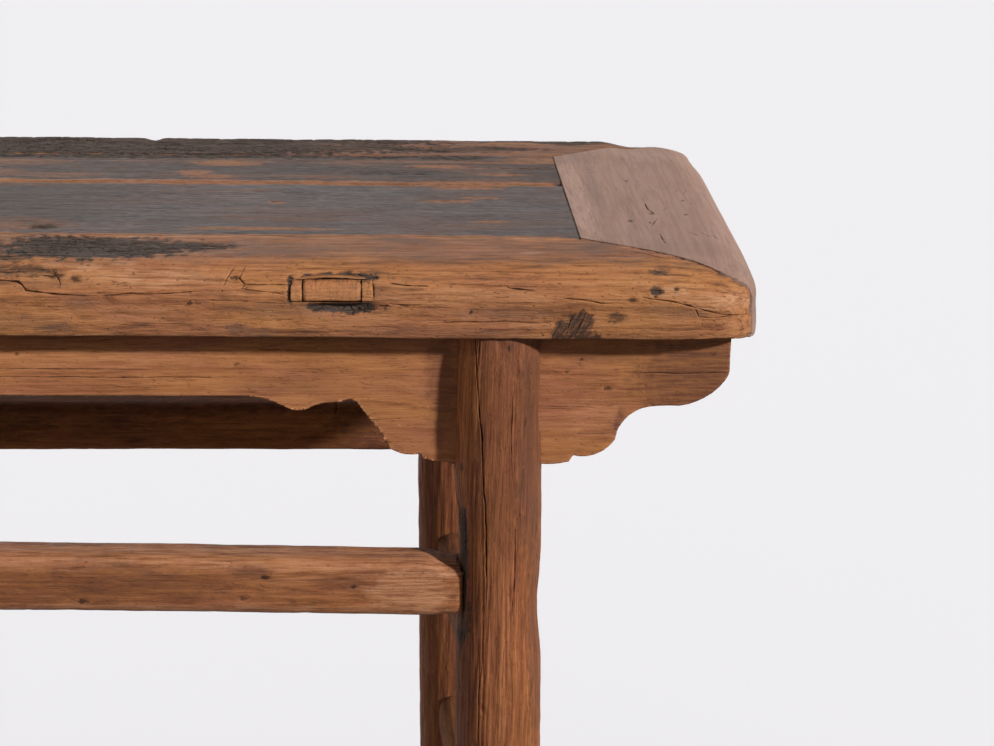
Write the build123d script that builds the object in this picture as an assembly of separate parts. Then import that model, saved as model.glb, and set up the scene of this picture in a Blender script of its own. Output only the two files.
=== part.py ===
from build123d import *
import os
from math import cos, radians, sin, tan

# Recessed-leg altar table, after the way such tables are joined: a mitred frame round a
# floating panel, round splayed legs slotted over one-piece aprons, and tenoned stretchers.
# Millimetres. The origin is the centre of the footprint on the floor, +Z up, +X along the
# length, and the front faces -Y.

# Overall sizes
TABLE_LENGTH = 1900.0
TABLE_DEPTH = 402.0
TABLE_HEIGHT = 860.0

# Top frame and its worn edge moulding
TOP_THICK = 53.0
LONG_RAIL_WIDTH = 81.0
END_RAIL_WIDTH = 130.0
PLAN_CORNER_RADIUS = 38.0
EDGE_RUN = 32.0
EDGE_DROP = 25.0
EDGE_UNDERCUT = 4.5
EDGE_BELLY = 1.2
EDGE_ARCS_MEET = 45.0

# Mitre tenons, cut on the long rails and housed in the end rails
MITRE_TENON_WIDTH = 32.0
MITRE_TENON_THICK = 14.0
MITRE_TENON_SETBACK = 8.0
MITRE_TENON_COVER = 25.0

# Floating panel of two boards
PANEL_THICK = 11.5
PANEL_TONGUE_THICK = 6.0
PANEL_TONGUE_LENGTH = 9.0
PANEL_GAP = 0.4
GROOVE_SPARE = 1.5
FRONT_BOARD_WIDTH = 153.0
SEAM_TONGUE_LENGTH = 5.0
SEAM_TONGUE_THICK = 4.0

# Battens under the panel, dovetailed into it and wedged through the long rails
BATTEN_WIDTH = 50.0
BATTEN_HEIGHT = 26.0
DOVETAIL_HEIGHT = 4.0
DOVETAIL_NECK = 30.0
DOVETAIL_FLARE = 2.0
BATTEN_TENON_WIDTH = 43.0
BATTEN_TENON_THICK = 14.5
BATTEN_FROM_LEG = 125.5
WEDGE_DEPTH = 45.0
WEDGE_HEAD = 9.0
WEDGE_TIP = 2.0

# Legs: hand-set, so the back pair stands a little nearer the middle than the front pair
FRONT_LEG_INSET_X = 194.0
BACK_LEG_INSET_X = 210.0
LEG_INSET_Y = 36.0
LEG_DIAMETER = 65.0
SPLAY_X = 1.35
SPLAY_Y = 1.15
LEG_TENON_THICK = 11.0
LEG_TENON_WIDTH = 38.0
LEG_TENON_HEIGHT = 26.0
LEG_TENON_SHOULDER = 2.5

# Aprons with their spandrels, and the short end aprons
APRON_THICK = 18.0
APRON_DROP = 59.0
SPANDREL_DROP = 112.0
SPANDREL_IN = 188.0
APRON_INSET_X = 18.0
END_APRON_DROP = 38.0
END_APRON_THICK = 18.0
END_APRON_INSET = 6.0
DADO_DEPTH = 6.0

# Stretchers
LONG_STRETCHER_HEIGHT = 45.0
LONG_STRETCHER_THICK = 36.0
LONG_STRETCHER_BELOW_TOP = 186.0
LONG_STRETCHER_ROUND = 9.0
LONG_TENON_HEIGHT = 30.0
SIDE_STRETCHER_HEIGHT = 42.0
SIDE_STRETCHER_THICK = 38.0
SIDE_STRETCHERS_BELOW_TOP = {"upper": 304.0, "lower": 469.0}
SIDE_STRETCHER_ROUND = 13.0
SIDE_TENON_HEIGHT = 26.0
SIDE_TENON_DEPTH = 30.0
STRETCHER_TENON_THICK = 12.0

# Clearance round every tenon and scribed shoulder
FIT = 0.15
PAST = 5.0

# Levels and centre lines that follow from the sizes above
UNDERSIDE = TABLE_HEIGHT - TOP_THICK
PANEL_UNDERSIDE = TABLE_HEIGHT - PANEL_THICK
HALF_LENGTH = TABLE_LENGTH / 2
HALF_DEPTH = TABLE_DEPTH / 2
PANEL_HALF_X = HALF_LENGTH - END_RAIL_WIDTH
PANEL_HALF_Y = HALF_DEPTH - LONG_RAIL_WIDTH
LEG_Y = HALF_DEPTH - LEG_INSET_Y
APRON_HALF_X = HALF_LENGTH - APRON_INSET_X
BATTEN_OUTER_X = HALF_LENGTH - FRONT_LEG_INSET_X - BATTEN_FROM_LEG
BATTEN_PLACES = {
    "left_outer": -BATTEN_OUTER_X,
    "left_inner": -BATTEN_OUTER_X / 3,
    "right_inner": BATTEN_OUTER_X / 3,
    "right_outer": BATTEN_OUTER_X,
}
FRONT, BACK, LEFT, RIGHT = -1, 1, -1, 1
ROWS = {"front": FRONT, "back": BACK}
ENDS = {"left": LEFT, "right": RIGHT}
LEG_X = {FRONT: HALF_LENGTH - FRONT_LEG_INSET_X, BACK: HALF_LENGTH - BACK_LEG_INSET_X}


def block(x, y, z):
    """Box between two corners, each axis given as a (low, high) pair."""
    size = [high - low for low, high in (x, y, z)]
    return Pos(x[0], y[0], z[0]) * Box(*size, align=(Align.MIN,) * 3)


def around(centre, width):
    """The (low, high) pair of a given width about a centre."""
    return (centre - width / 2, centre + width / 2)


def towards(side, near, far):
    """The (low, high) pair from near to far, on the negative or positive side."""
    return tuple(sorted((side * near, side * far)))


# Top frame

def edge_section(reach):
    """Half section of the top in X and Z, from its middle out to the widest point.

    The crown arc leaves the flat top level, the nose arc ends upright, and the two meet in
    a common tangent at EDGE_ARCS_MEET, which fixes both radii.
    """
    waist = TOP_THICK - EDGE_DROP
    foot = (reach - EDGE_UNDERCUT, 0)
    shoulder = (reach - EDGE_RUN, TOP_THICK)
    rise, run = sin(radians(EDGE_ARCS_MEET)), cos(radians(EDGE_ARCS_MEET))
    spread = rise + run - 1
    crown_radius = (rise * EDGE_RUN - (1 - run) * EDGE_DROP) / spread
    nose_radius = (run * EDGE_DROP - (1 - rise) * EDGE_RUN) / spread
    crown_centre = (reach - EDGE_RUN, TOP_THICK - crown_radius)
    crown = CenterArc(crown_centre, crown_radius, EDGE_ARCS_MEET, 90 - EDGE_ARCS_MEET)
    nose = CenterArc((reach - nose_radius, waist), nose_radius, 0, EDGE_ARCS_MEET)
    flank = SagittaArc(foot, (reach, waist), -EDGE_BELLY)
    rest = Polyline(shoulder, (0, TOP_THICK), (0, 0), foot)
    return Plane.XZ * make_face([flank, nose, crown, rest])


def top_blank():
    """The whole top as one slab with its rounded edge, before it is cut into pieces."""
    straight_x = HALF_LENGTH - PLAN_CORNER_RADIUS
    straight_y = HALF_DEPTH - PLAN_CORNER_RADIUS
    along = extrude(edge_section(HALF_LENGTH), straight_y, both=True)
    across = extrude(Rot(0, 0, 90) * edge_section(HALF_DEPTH), straight_x, both=True)
    slab = along + mirror(along, Plane.YZ) + across + mirror(across, Plane.XZ)
    puck = revolve(edge_section(PLAN_CORNER_RADIUS), Axis.Z)
    for x in (-straight_x, straight_x):
        for y in (-straight_y, straight_y):
            slab += Pos(x, y, 0) * puck
    return Pos(0, 0, UNDERSIDE) * slab


def prism(corners):
    """Upright prism over a plan polygon, tall enough to cut the whole top."""
    plan = make_face(Polyline(*corners, close=True))
    return Pos(0, 0, UNDERSIDE - PAST) * extrude(plan, TOP_THICK + 2 * PAST)


def long_rail_region(row):
    """Plan of a long rail: mitred from the panel corners to the table corners."""
    inner, outer = row * PANEL_HALF_Y, row * HALF_DEPTH
    return prism([(-PANEL_HALF_X, inner), (PANEL_HALF_X, inner),
                  (HALF_LENGTH, outer), (-HALF_LENGTH, outer)])


def end_rail_region(end):
    """Plan of an end rail, between the same mitres."""
    inner, outer = end * PANEL_HALF_X, end * HALF_LENGTH
    return prism([(inner, -PANEL_HALF_Y), (inner, PANEL_HALF_Y),
                  (outer, HALF_DEPTH), (outer, -HALF_DEPTH)])


def panel_groove():
    """Groove round the inside of the frame that holds the panel's tongue."""
    reach = PANEL_TONGUE_LENGTH + GROOVE_SPARE
    lip = PANEL_UNDERSIDE + PANEL_TONGUE_THICK + FIT
    return block(around(0, 2 * (PANEL_HALF_X + reach)), around(0, 2 * (PANEL_HALF_Y + reach)),
                 (PANEL_UNDERSIDE, lip))


def mitre_tenon(row, end, room=0.0):
    """Tenon of a long rail in an end rail, or its mortise when room is given."""
    near = PANEL_HALF_Y + MITRE_TENON_SETBACK
    middle = UNDERSIDE + (TOP_THICK - PANEL_THICK) / 2
    return block(towards(end, PANEL_HALF_X, HALF_LENGTH - MITRE_TENON_COVER + room),
                 towards(row, near - room, near + MITRE_TENON_WIDTH + room),
                 around(middle, MITRE_TENON_THICK + 2 * room))


def leg_tenons(row, end, room=0.0):
    """Pair of tenons on a leg's two cheeks, or their mortises when room is given."""
    offset = APRON_THICK / 2 + LEG_TENON_SHOULDER + LEG_TENON_THICK / 2
    pair = [block(around(end * LEG_X[row], LEG_TENON_WIDTH + 2 * room),
                  around(row * LEG_Y + side * offset, LEG_TENON_THICK + 2 * room),
                  (UNDERSIDE - PAST * (room > 0), UNDERSIDE + LEG_TENON_HEIGHT + room))
            for side in (-1, 1)]
    return pair[0] + pair[1]


def batten_tenon(place, room=0.0):
    """Through tenon of a batten, across the whole depth of the table."""
    return block(around(place, BATTEN_TENON_WIDTH + 2 * room),
                 (-HALF_DEPTH - PAST, HALF_DEPTH + PAST),
                 (PANEL_UNDERSIDE - BATTEN_TENON_THICK - room, PANEL_UNDERSIDE + room))


def wedge(place, row, side, room=0.0):
    """Wedge beside a batten tenon, or its tapered slot when room is given."""
    near = BATTEN_TENON_WIDTH / 2 + FIT - room
    outside = HALF_DEPTH + PAST
    flare = (WEDGE_HEAD - WEDGE_TIP) / WEDGE_DEPTH
    head = near + WEDGE_HEAD + flare * PAST + 2 * room
    inside = HALF_DEPTH - WEDGE_DEPTH - room
    tip = near + WEDGE_TIP + 2 * room
    corners = [(near, outside), (head, outside), (tip, inside), (near, inside)]
    plan = make_face(Polyline(*[(place + side * x, row * y) for x, y in corners], close=True))
    low = PANEL_UNDERSIDE - BATTEN_TENON_THICK - room
    return Pos(0, 0, low) * extrude(plan, BATTEN_TENON_THICK + 2 * room, dir=(0, 0, 1))


def long_rail(blank, row):
    """Long rail with its mitre tenons, panel groove and the mortises it is cut for."""
    rail = blank & long_rail_region(row)
    for end in ENDS.values():
        rail += mitre_tenon(row, end)
    rail -= panel_groove()
    for end in ENDS.values():
        rail -= leg_tenons(row, end, FIT)
    for place in BATTEN_PLACES.values():
        rail -= batten_tenon(place, FIT)
        for side in (-1, 1):
            rail -= wedge(place, row, side, FIT)
    return rail


def end_rail(blank, end):
    """End rail with the mortises for both mitre tenons and the panel groove."""
    rail = (blank & end_rail_region(end)) - panel_groove()
    for row in ROWS.values():
        rail -= mitre_tenon(row, end, FIT)
    return rail


# Panel

def batten_dovetail(place, room=0.0):
    """Dovetail along the top of a batten that slides into the panel's underside."""
    neck = DOVETAIL_NECK / 2 + room
    flare = neck + DOVETAIL_FLARE
    base, top = PANEL_UNDERSIDE - room, PANEL_UNDERSIDE + DOVETAIL_HEIGHT + room
    section = Polyline((place - neck, base), (place + neck, base),
                       (place + flare, top), (place - flare, top), close=True)
    reach = PANEL_HALF_Y - FIT + 2 * room
    return extrude(Plane.XZ * make_face(section), reach, both=True)


def panel_board(y_from, y_to, row):
    """One board: flush top, tongued at its ends and outer edge, grooved for the battens."""
    top_x = PANEL_HALF_X - PANEL_GAP
    tongue_x = PANEL_HALF_X + PANEL_TONGUE_LENGTH
    outer = row * (PANEL_HALF_Y - PANEL_GAP)
    tongue_outer = row * (PANEL_HALF_Y + PANEL_TONGUE_LENGTH)
    seam = y_to if row == FRONT else y_from
    board = block((-top_x, top_x), tuple(sorted((seam, outer))), (PANEL_UNDERSIDE, TABLE_HEIGHT))
    board += block((-tongue_x, tongue_x), tuple(sorted((seam, tongue_outer))),
                   (PANEL_UNDERSIDE, PANEL_UNDERSIDE + PANEL_TONGUE_THICK))
    return board


def seam_tongue(seam, room=0.0):
    """Tongue on the back board that enters the front board at the seam."""
    reach = PANEL_HALF_X - PANEL_GAP + room
    middle = PANEL_UNDERSIDE + DOVETAIL_HEIGHT + (PANEL_THICK - DOVETAIL_HEIGHT) / 2
    return block((-reach, reach), (seam - SEAM_TONGUE_LENGTH - room, seam + room),
                 around(middle, SEAM_TONGUE_THICK + 2 * room))


def panel_boards():
    """The two boards of the panel, joined by a tongue and groove."""
    seam = -PANEL_HALF_Y + FRONT_BOARD_WIDTH
    front = panel_board(-PANEL_HALF_Y, seam, FRONT) - seam_tongue(seam, FIT)
    back = panel_board(seam, PANEL_HALF_Y, BACK) + seam_tongue(seam)
    for place in BATTEN_PLACES.values():
        front -= batten_dovetail(place, FIT)
        back -= batten_dovetail(place, FIT)
    return {"panel_board_front": front, "panel_board_back": back}


def batten(blank, place):
    """Batten with its dovetail, shouldered against the rails and tenoned through them."""
    shoulder = PANEL_HALF_Y - FIT
    body = block(around(place, BATTEN_WIDTH), (-shoulder, shoulder),
                 (PANEL_UNDERSIDE - BATTEN_HEIGHT, PANEL_UNDERSIDE))
    tenon = batten_tenon(place) & blank
    return body + batten_dovetail(place) + tenon


def batten_wedges(blank):
    """All the wedges, trimmed flush with the face of the long rails."""
    return [wedge(place, row, side) & blank
            for place in BATTEN_PLACES.values() for row in ROWS.values() for side in (-1, 1)]


# Legs

def leg_centre(row, end, height):
    """Centre of a splayed leg at a height above the floor."""
    drop = UNDERSIDE - height
    return (end * (LEG_X[row] + drop * tan(radians(SPLAY_X))),
            row * (LEG_Y + drop * tan(radians(SPLAY_Y))))


def leg_blank(row, end, room=0.0):
    """Splayed round leg from the floor to the underside of the top."""
    low, high = -LEG_DIAMETER, UNDERSIDE + LEG_DIAMETER
    start = Vector(*leg_centre(row, end, low), low)
    axis = Vector(*leg_centre(row, end, high), high) - start
    post = Cylinder(LEG_DIAMETER / 2 + room, axis.length, align=(Align.CENTER, Align.CENTER, Align.MIN))
    reach = HALF_LENGTH + LEG_DIAMETER
    return (Plane(start, z_dir=axis) * post) & block((-reach, reach), (-reach, reach), (0, UNDERSIDE))


def leg(row, end):
    """Leg slotted over the apron, with its top tenons and its stretcher mortises."""
    slot_floor = UNDERSIDE - SPANDREL_DROP
    slot = block(around(end * LEG_X[row], 2 * LEG_DIAMETER), around(row * LEG_Y, APRON_THICK + 2 * FIT),
                 (slot_floor, UNDERSIDE + PAST))
    post = leg_blank(row, end) - slot + leg_tenons(row, end)
    post -= long_stretcher_tenon(row, end, FIT)
    for below in SIDE_STRETCHERS_BELOW_TOP.values():
        post -= side_stretcher_tenon(row, end, below, FIT)
    return post


# Aprons

def spandrel_seat():
    """Half width of the flat on an apron's lower edge that rests on a leg's slot floor."""
    return LEG_DIAMETER / 2 + SPANDREL_DROP * tan(radians(SPLAY_X)) + FIT


def scroll(tip, motif):
    """Edge of a spandrel from the leg out to its tip, as arcs between its cusps."""
    near, extra = spandrel_seat(), SPANDREL_DROP - APRON_DROP
    edges = []
    start = (near, -SPANDREL_DROP)
    for run, rise, bulge in motif:
        stop = (near + run * (tip - near), -SPANDREL_DROP + rise * extra)
        if bulge:
            length = ((stop[0] - start[0]) ** 2 + (stop[1] - start[1]) ** 2) ** 0.5
            edges.append(SagittaArc(start, stop, bulge * length))
        else:
            edges.append(Line(start, stop))
        start = stop
    return edges


# Each scroll is a run of (share of the reach, share of the drop, bulge as a share of the
# chord) from the leg to the tip. A bulge of nought is straight, a positive one is hollow.
SCROLL_IN = [
    (0.140, 0.045, -0.06), (0.165, 0.115, 0), (0.310, 0.200, -0.10), (0.525, 0.945, 0.13),
    (0.620, 0.900, -0.05), (0.715, 0.800, 0.05), (0.825, 0.850, -0.10), (1.000, 1.000, 0.05),
]
SCROLL_OUT = [
    (0.150, 0.030, -0.04), (0.168, 0.130, 0), (0.395, 0.385, -0.16), (0.600, 0.895, 0.19),
    (0.735, 0.900, 0.02),
]
SWEEP_UP_BULGE = -0.13


def apron_outline(row):
    """Right half of an apron's face in X and Z, both measured from the leg and underside."""
    spandrel_out = APRON_HALF_X - LEG_X[row]
    inner = [Rot(0, 180, 0) * edge for edge in scroll(SPANDREL_IN, SCROLL_IN)]
    outer = scroll(spandrel_out, SCROLL_OUT)
    seat = Line((-spandrel_seat(), -SPANDREL_DROP), (spandrel_seat(), -SPANDREL_DROP))
    outer_tip = outer[-1] @ 1
    corner = (spandrel_out, -END_APRON_DROP)
    sweep_up = SagittaArc(outer_tip, corner, SWEEP_UP_BULGE * (Vector(*corner) - outer_tip).length)
    inner_tip = inner[-1] @ 1
    rest = Polyline(corner, (spandrel_out, 0), (-LEG_X[row], 0), (-LEG_X[row], inner_tip.Y), inner_tip)
    return make_face([*inner, seat, *outer, sweep_up, rest])


def apron(row):
    """One long board with a spandrel each side of both legs, housed for the end aprons."""
    half = Pos(LEG_X[row], UNDERSIDE, 0) * apron_outline(row)
    face = half + mirror(half, Plane.YZ)
    board = Pos(0, row * LEG_Y, 0) * extrude(Plane.XZ * face, APRON_THICK / 2, both=True)
    for end in ENDS.values():
        board -= end_apron_board(end, FIT)
    return board


def end_apron_board(end, room=0.0):
    """Short apron under an end rail, or the dados that hold it when room is given."""
    outer = APRON_HALF_X - END_APRON_INSET
    reach = LEG_Y - APRON_THICK / 2 + DADO_DEPTH
    return block(towards(end, outer - END_APRON_THICK - room, outer + room), around(0, 2 * (reach + room)),
                 (UNDERSIDE - END_APRON_DROP - room, UNDERSIDE + (PAST if room else 0)))


# Stretchers

def long_stretcher_level():
    """Height of a long stretcher's centre line above the floor."""
    return UNDERSIDE - LONG_STRETCHER_BELOW_TOP - LONG_STRETCHER_HEIGHT / 2


def long_stretcher_tenon(row, end, room=0.0):
    """Through tenon of a long stretcher, from inside the rail to past the leg's far side."""
    level = long_stretcher_level()
    x, y = leg_centre(row, end, level)
    reach = LEG_DIAMETER / 2 + PAST
    return block(around(x, 2 * reach), around(y, STRETCHER_TENON_THICK + 2 * room),
                 around(level, LONG_TENON_HEIGHT + 2 * room))


def long_stretcher(row):
    """Long stretcher, scribed to both legs and tenoned through them."""
    level = long_stretcher_level()
    x, y = leg_centre(row, RIGHT, level)
    bar = Pos(0, y, level) * Box(2 * x, LONG_STRETCHER_THICK, LONG_STRETCHER_HEIGHT)
    bar = fillet(bar.edges().filter_by(Axis.X), LONG_STRETCHER_ROUND)
    for end in ENDS.values():
        bar -= leg_blank(row, end, FIT)
        tenon = long_stretcher_tenon(row, end)
        outboard = block(towards(end, x, x + LEG_DIAMETER), around(y, LEG_DIAMETER),
                         around(level, LONG_STRETCHER_HEIGHT))
        bar += tenon - (outboard - leg_blank(row, end))
    return bar


def side_stretcher_place(end, below):
    """Plane with its X axis from the front leg to the back leg, and half the span."""
    level = UNDERSIDE - below - SIDE_STRETCHER_HEIGHT / 2
    front, back = (Vector(*leg_centre(row, end, level), level) for row in (FRONT, BACK))
    return Plane((front + back) / 2, x_dir=back - front), (back - front).length / 2


def side_stretcher_tenon(row, end, below, room=0.0):
    """Blind tenon of a side stretcher, from its shoulder into the leg."""
    place, half_span = side_stretcher_place(end, below)
    shoulder = half_span - LEG_DIAMETER / 2
    return place * block(towards(row, shoulder - PAST, shoulder + SIDE_TENON_DEPTH + room),
                         around(0, STRETCHER_TENON_THICK + 2 * room),
                         around(0, SIDE_TENON_HEIGHT + 2 * room))


def side_stretcher(end, below):
    """Side stretcher between a front and a back leg, with blind tenons."""
    place, half_span = side_stretcher_place(end, below)
    bar = Box(2 * half_span, SIDE_STRETCHER_THICK, SIDE_STRETCHER_HEIGHT)
    bar = place * fillet(bar.edges().filter_by(Axis.X), SIDE_STRETCHER_ROUND)
    for row in ROWS.values():
        bar -= leg_blank(row, end, FIT)
    for row in ROWS.values():
        bar += side_stretcher_tenon(row, end, below)
    return bar


def table():
    """Every piece of the table by name."""
    blank = top_blank()
    pieces = {f"top_rail_{name}": long_rail(blank, row) for name, row in ROWS.items()}
    pieces |= {f"top_end_rail_{name}": end_rail(blank, end) for name, end in ENDS.items()}
    pieces |= panel_boards()
    pieces |= {f"batten_{name}": batten(blank, place) for name, place in BATTEN_PLACES.items()}
    pieces["batten_wedges"] = Compound(children=batten_wedges(blank))
    for row_name, row in ROWS.items():
        pieces[f"apron_{row_name}"] = apron(row)
        pieces[f"long_stretcher_{row_name}"] = long_stretcher(row)
        for end_name, end in ENDS.items():
            pieces[f"leg_{row_name}_{end_name}"] = leg(row, end)
    for end_name, end in ENDS.items():
        pieces[f"end_apron_{end_name}"] = end_apron_board(end)
        for level_name, below in SIDE_STRETCHERS_BELOW_TOP.items():
            pieces[f"side_stretcher_{level_name}_{end_name}"] = side_stretcher(end, below)
    return pieces


os.makedirs("parts", exist_ok=True)
for node, solid in table().items():
    export_step(solid, f"parts/{node}.step")
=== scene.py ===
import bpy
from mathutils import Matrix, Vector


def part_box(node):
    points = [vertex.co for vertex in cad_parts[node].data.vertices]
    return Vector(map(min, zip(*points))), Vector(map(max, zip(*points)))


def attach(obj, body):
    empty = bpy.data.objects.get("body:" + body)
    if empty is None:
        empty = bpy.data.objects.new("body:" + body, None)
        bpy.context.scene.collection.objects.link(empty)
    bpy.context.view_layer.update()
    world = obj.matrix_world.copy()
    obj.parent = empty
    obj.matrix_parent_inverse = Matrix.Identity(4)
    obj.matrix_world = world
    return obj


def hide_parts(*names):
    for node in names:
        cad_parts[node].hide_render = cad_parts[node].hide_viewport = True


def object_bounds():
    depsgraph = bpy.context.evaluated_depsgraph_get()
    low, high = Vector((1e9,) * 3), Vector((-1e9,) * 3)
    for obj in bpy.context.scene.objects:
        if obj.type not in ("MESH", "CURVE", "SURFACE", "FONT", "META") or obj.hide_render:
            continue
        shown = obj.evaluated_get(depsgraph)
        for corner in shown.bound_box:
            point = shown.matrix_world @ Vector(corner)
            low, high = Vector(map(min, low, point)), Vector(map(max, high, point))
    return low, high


bl_info = {
    "name": "Altar Table",
    "version": (1, 0, 0),
    "blender": (4, 5, 0),
    "location": "3D View > Sidebar > Altar Table",
    "description": "Makes the worn wooden pieces of a recessed-leg altar table round its packed frame",
    "category": "Object",
}

from collections import namedtuple
from collections.abc import Callable, Sequence
from dataclasses import dataclass
from math import atan2, cos, exp, radians, sin, sqrt
from random import Random

import bmesh
import bpy
from bpy.props import FloatProperty, FloatVectorProperty, PointerProperty
from mathutils import Matrix, Vector, kdtree, noise
from mathutils.bvhtree import BVHTree

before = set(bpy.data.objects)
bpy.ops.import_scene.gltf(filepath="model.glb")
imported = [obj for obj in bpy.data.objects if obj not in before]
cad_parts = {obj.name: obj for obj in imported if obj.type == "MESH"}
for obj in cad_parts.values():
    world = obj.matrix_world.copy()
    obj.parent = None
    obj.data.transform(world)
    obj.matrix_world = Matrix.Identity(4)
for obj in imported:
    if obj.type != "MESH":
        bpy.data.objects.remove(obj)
cad_low, cad_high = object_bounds()

MM = 0.001
ROOT = "root"
ALONG_X, ALONG_Y, ALONG_Z = 0, 1, 2

HALF_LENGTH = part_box("top_end_rail_right")[1].x
HALF_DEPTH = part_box("top_rail_back")[1].y
STRETCHER_LEVEL = 0.5 * (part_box("long_stretcher_front")[0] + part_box("long_stretcher_front")[1]).z

# Seen from above: the centre that the top's right corners are worn round, the corner of the
# panel where a mitre begins, and the way across the mitre towards the end rail
CORNER_CENTRE = Vector((HALF_LENGTH - 38 * MM, HALF_DEPTH - 38 * MM))
RAIL_WIDTH = 81 * MM
PANEL_CORNER = Vector((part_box("top_end_rail_right")[0].x, -HALF_DEPTH + RAIL_WIDTH))
MITRE_ACROSS = Vector((HALF_DEPTH + PANEL_CORNER.y, HALF_LENGTH - PANEL_CORNER.x)).normalized()

# A mark is placed by the side it is seen from and its two coordinates there, in metres:
# X and Z seen from the front or back, X and Y from the top, Y and Z from an end.
SIDES = {
    "front": (Vector((0, 1, 0)), lambda a, b: Vector((a, -2, b))),
    "back": (Vector((0, -1, 0)), lambda a, b: Vector((a, 2, b))),
    "top": (Vector((0, 0, -1)), lambda a, b: Vector((a, b, 2))),
    "right": (Vector((-1, 0, 0)), lambda a, b: Vector((2, a, b))),
    "left": (Vector((1, 0, 0)), lambda a, b: Vector((-2, a, b))),
}
Crack = namedtuple("Crack", "side width depth line")  # width and depth in millimetres
Knot = namedtuple("Knot", "side place radius")  # radius in millimetres
Patch = namedtuple("Patch", "layer side place reach strength")  # reach in metres, each way

# The right end has marks of its own. Between these lengths along X, the rest of each piece
# has its marks scattered at random.
PLAIN_RAIL = (-0.93, 0.24)
PLAIN_PANEL = (-0.80, 0.24)
PLAIN_APRON = (-0.90, 0.30)
PLAIN_STRETCHER = (-0.70, 0.30)

# The faces of the skin are finer to the right of these lengths along X, and on the front right
# leg above this height.
FINE_TOP_FROM = 0.29
FINE_FRONT_FROM = 0.33
FINE_LEG_ABOVE = 0.38


# Marks of the right end

RAIL_FRONT_CRACKS = [
    Crack("front", 1.0, 1.8, [(0.330, 0.849), (0.391, 0.848), (0.403, 0.847), (0.406, 0.845),
                              (0.409, 0.841), (0.423, 0.839), (0.435, 0.838), (0.462, 0.837)]),
    Crack("front", 0.6, 1.2, [(0.462, 0.837), (0.484, 0.839), (0.509, 0.839), (0.535, 0.841)]),
    Crack("front", 0.6, 1.2, [(0.425, 0.857), (0.429, 0.853), (0.433, 0.848), (0.434, 0.843)]),
    Crack("front", 0.5, 1.0, [(0.412, 0.852), (0.424, 0.851), (0.431, 0.850)]),
    Crack("front", 0.6, 1.2, [(0.551, 0.844), (0.554, 0.850), (0.560, 0.857)]),
    Crack("front", 0.6, 1.2, [(0.568, 0.857), (0.563, 0.850), (0.567, 0.846), (0.564, 0.842)]),
    Crack("front", 0.6, 1.2, [(0.566, 0.846), (0.580, 0.846), (0.598, 0.8455)]),
    Crack("front", 0.5, 1.0, [(0.564, 0.843), (0.580, 0.841), (0.598, 0.8385)]),
    Crack("front", 0.5, 1.0, [(0.574, 0.832), (0.586, 0.8325), (0.600, 0.832)]),
    Crack("front", 0.4, 0.8, [(0.540, 0.834), (0.556, 0.8345), (0.570, 0.834)]),
    Crack("front", 0.7, 1.4, [(0.672, 0.847), (0.690, 0.8455), (0.702, 0.845)]),
    Crack("front", 0.8, 1.5, [(0.672, 0.832), (0.684, 0.831), (0.696, 0.8315)]),
    Crack("front", 0.7, 1.4, [(0.757, 0.8465), (0.760, 0.8445), (0.770, 0.8435), (0.779, 0.8425)]),
    Crack("front", 0.6, 1.2, [(0.800, 0.837), (0.813, 0.836), (0.828, 0.833), (0.836, 0.833)]),
    Crack("front", 0.9, 1.8, [(0.858, 0.838), (0.881, 0.836), (0.902, 0.833), (0.921, 0.829),
                              (0.940, 0.8245)]),
    Crack("front", 0.5, 1.0, [(0.898, 0.834), (0.902, 0.826), (0.915, 0.826), (0.928, 0.829)]),
    Crack("front", 0.5, 0.8, [(0.700, 0.819), (0.760, 0.820), (0.790, 0.8185)]),
    Crack("top", 0.5, 0.8, [(0.710, -0.148), (0.750, -0.150), (0.800, -0.149)]),
    Crack("top", 0.5, 0.8, [(0.600, -0.168), (0.660, -0.170), (0.720, -0.169)]),
    Crack("top", 0.5, 0.8, [(0.830, -0.166), (0.860, -0.170), (0.890, -0.176)]),
    Crack("front", 0.4, 0.8, [(0.803, 0.809), (0.805, 0.817), (0.808, 0.825)]),
    Crack("front", 0.4, 0.8, [(0.809, 0.808), (0.813, 0.817), (0.818, 0.826)]),
    Crack("top", 0.8, 1.4, [(0.848, -0.150), (0.868, -0.162), (0.882, -0.172)]),
]
RAIL_FRONT_KNOTS = [
    Knot("front", (0.431, 0.851), 4), Knot("front", (0.445, 0.849), 3.5),
    Knot("front", (0.560, 0.850), 3.0), Knot("front", (0.852, 0.836), 2.2),
    Knot("front", (0.885, 0.8455), 2),
    Knot("front", (0.527, 0.832), 1.8), Knot("front", (0.733, 0.826), 1.6),
]
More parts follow.
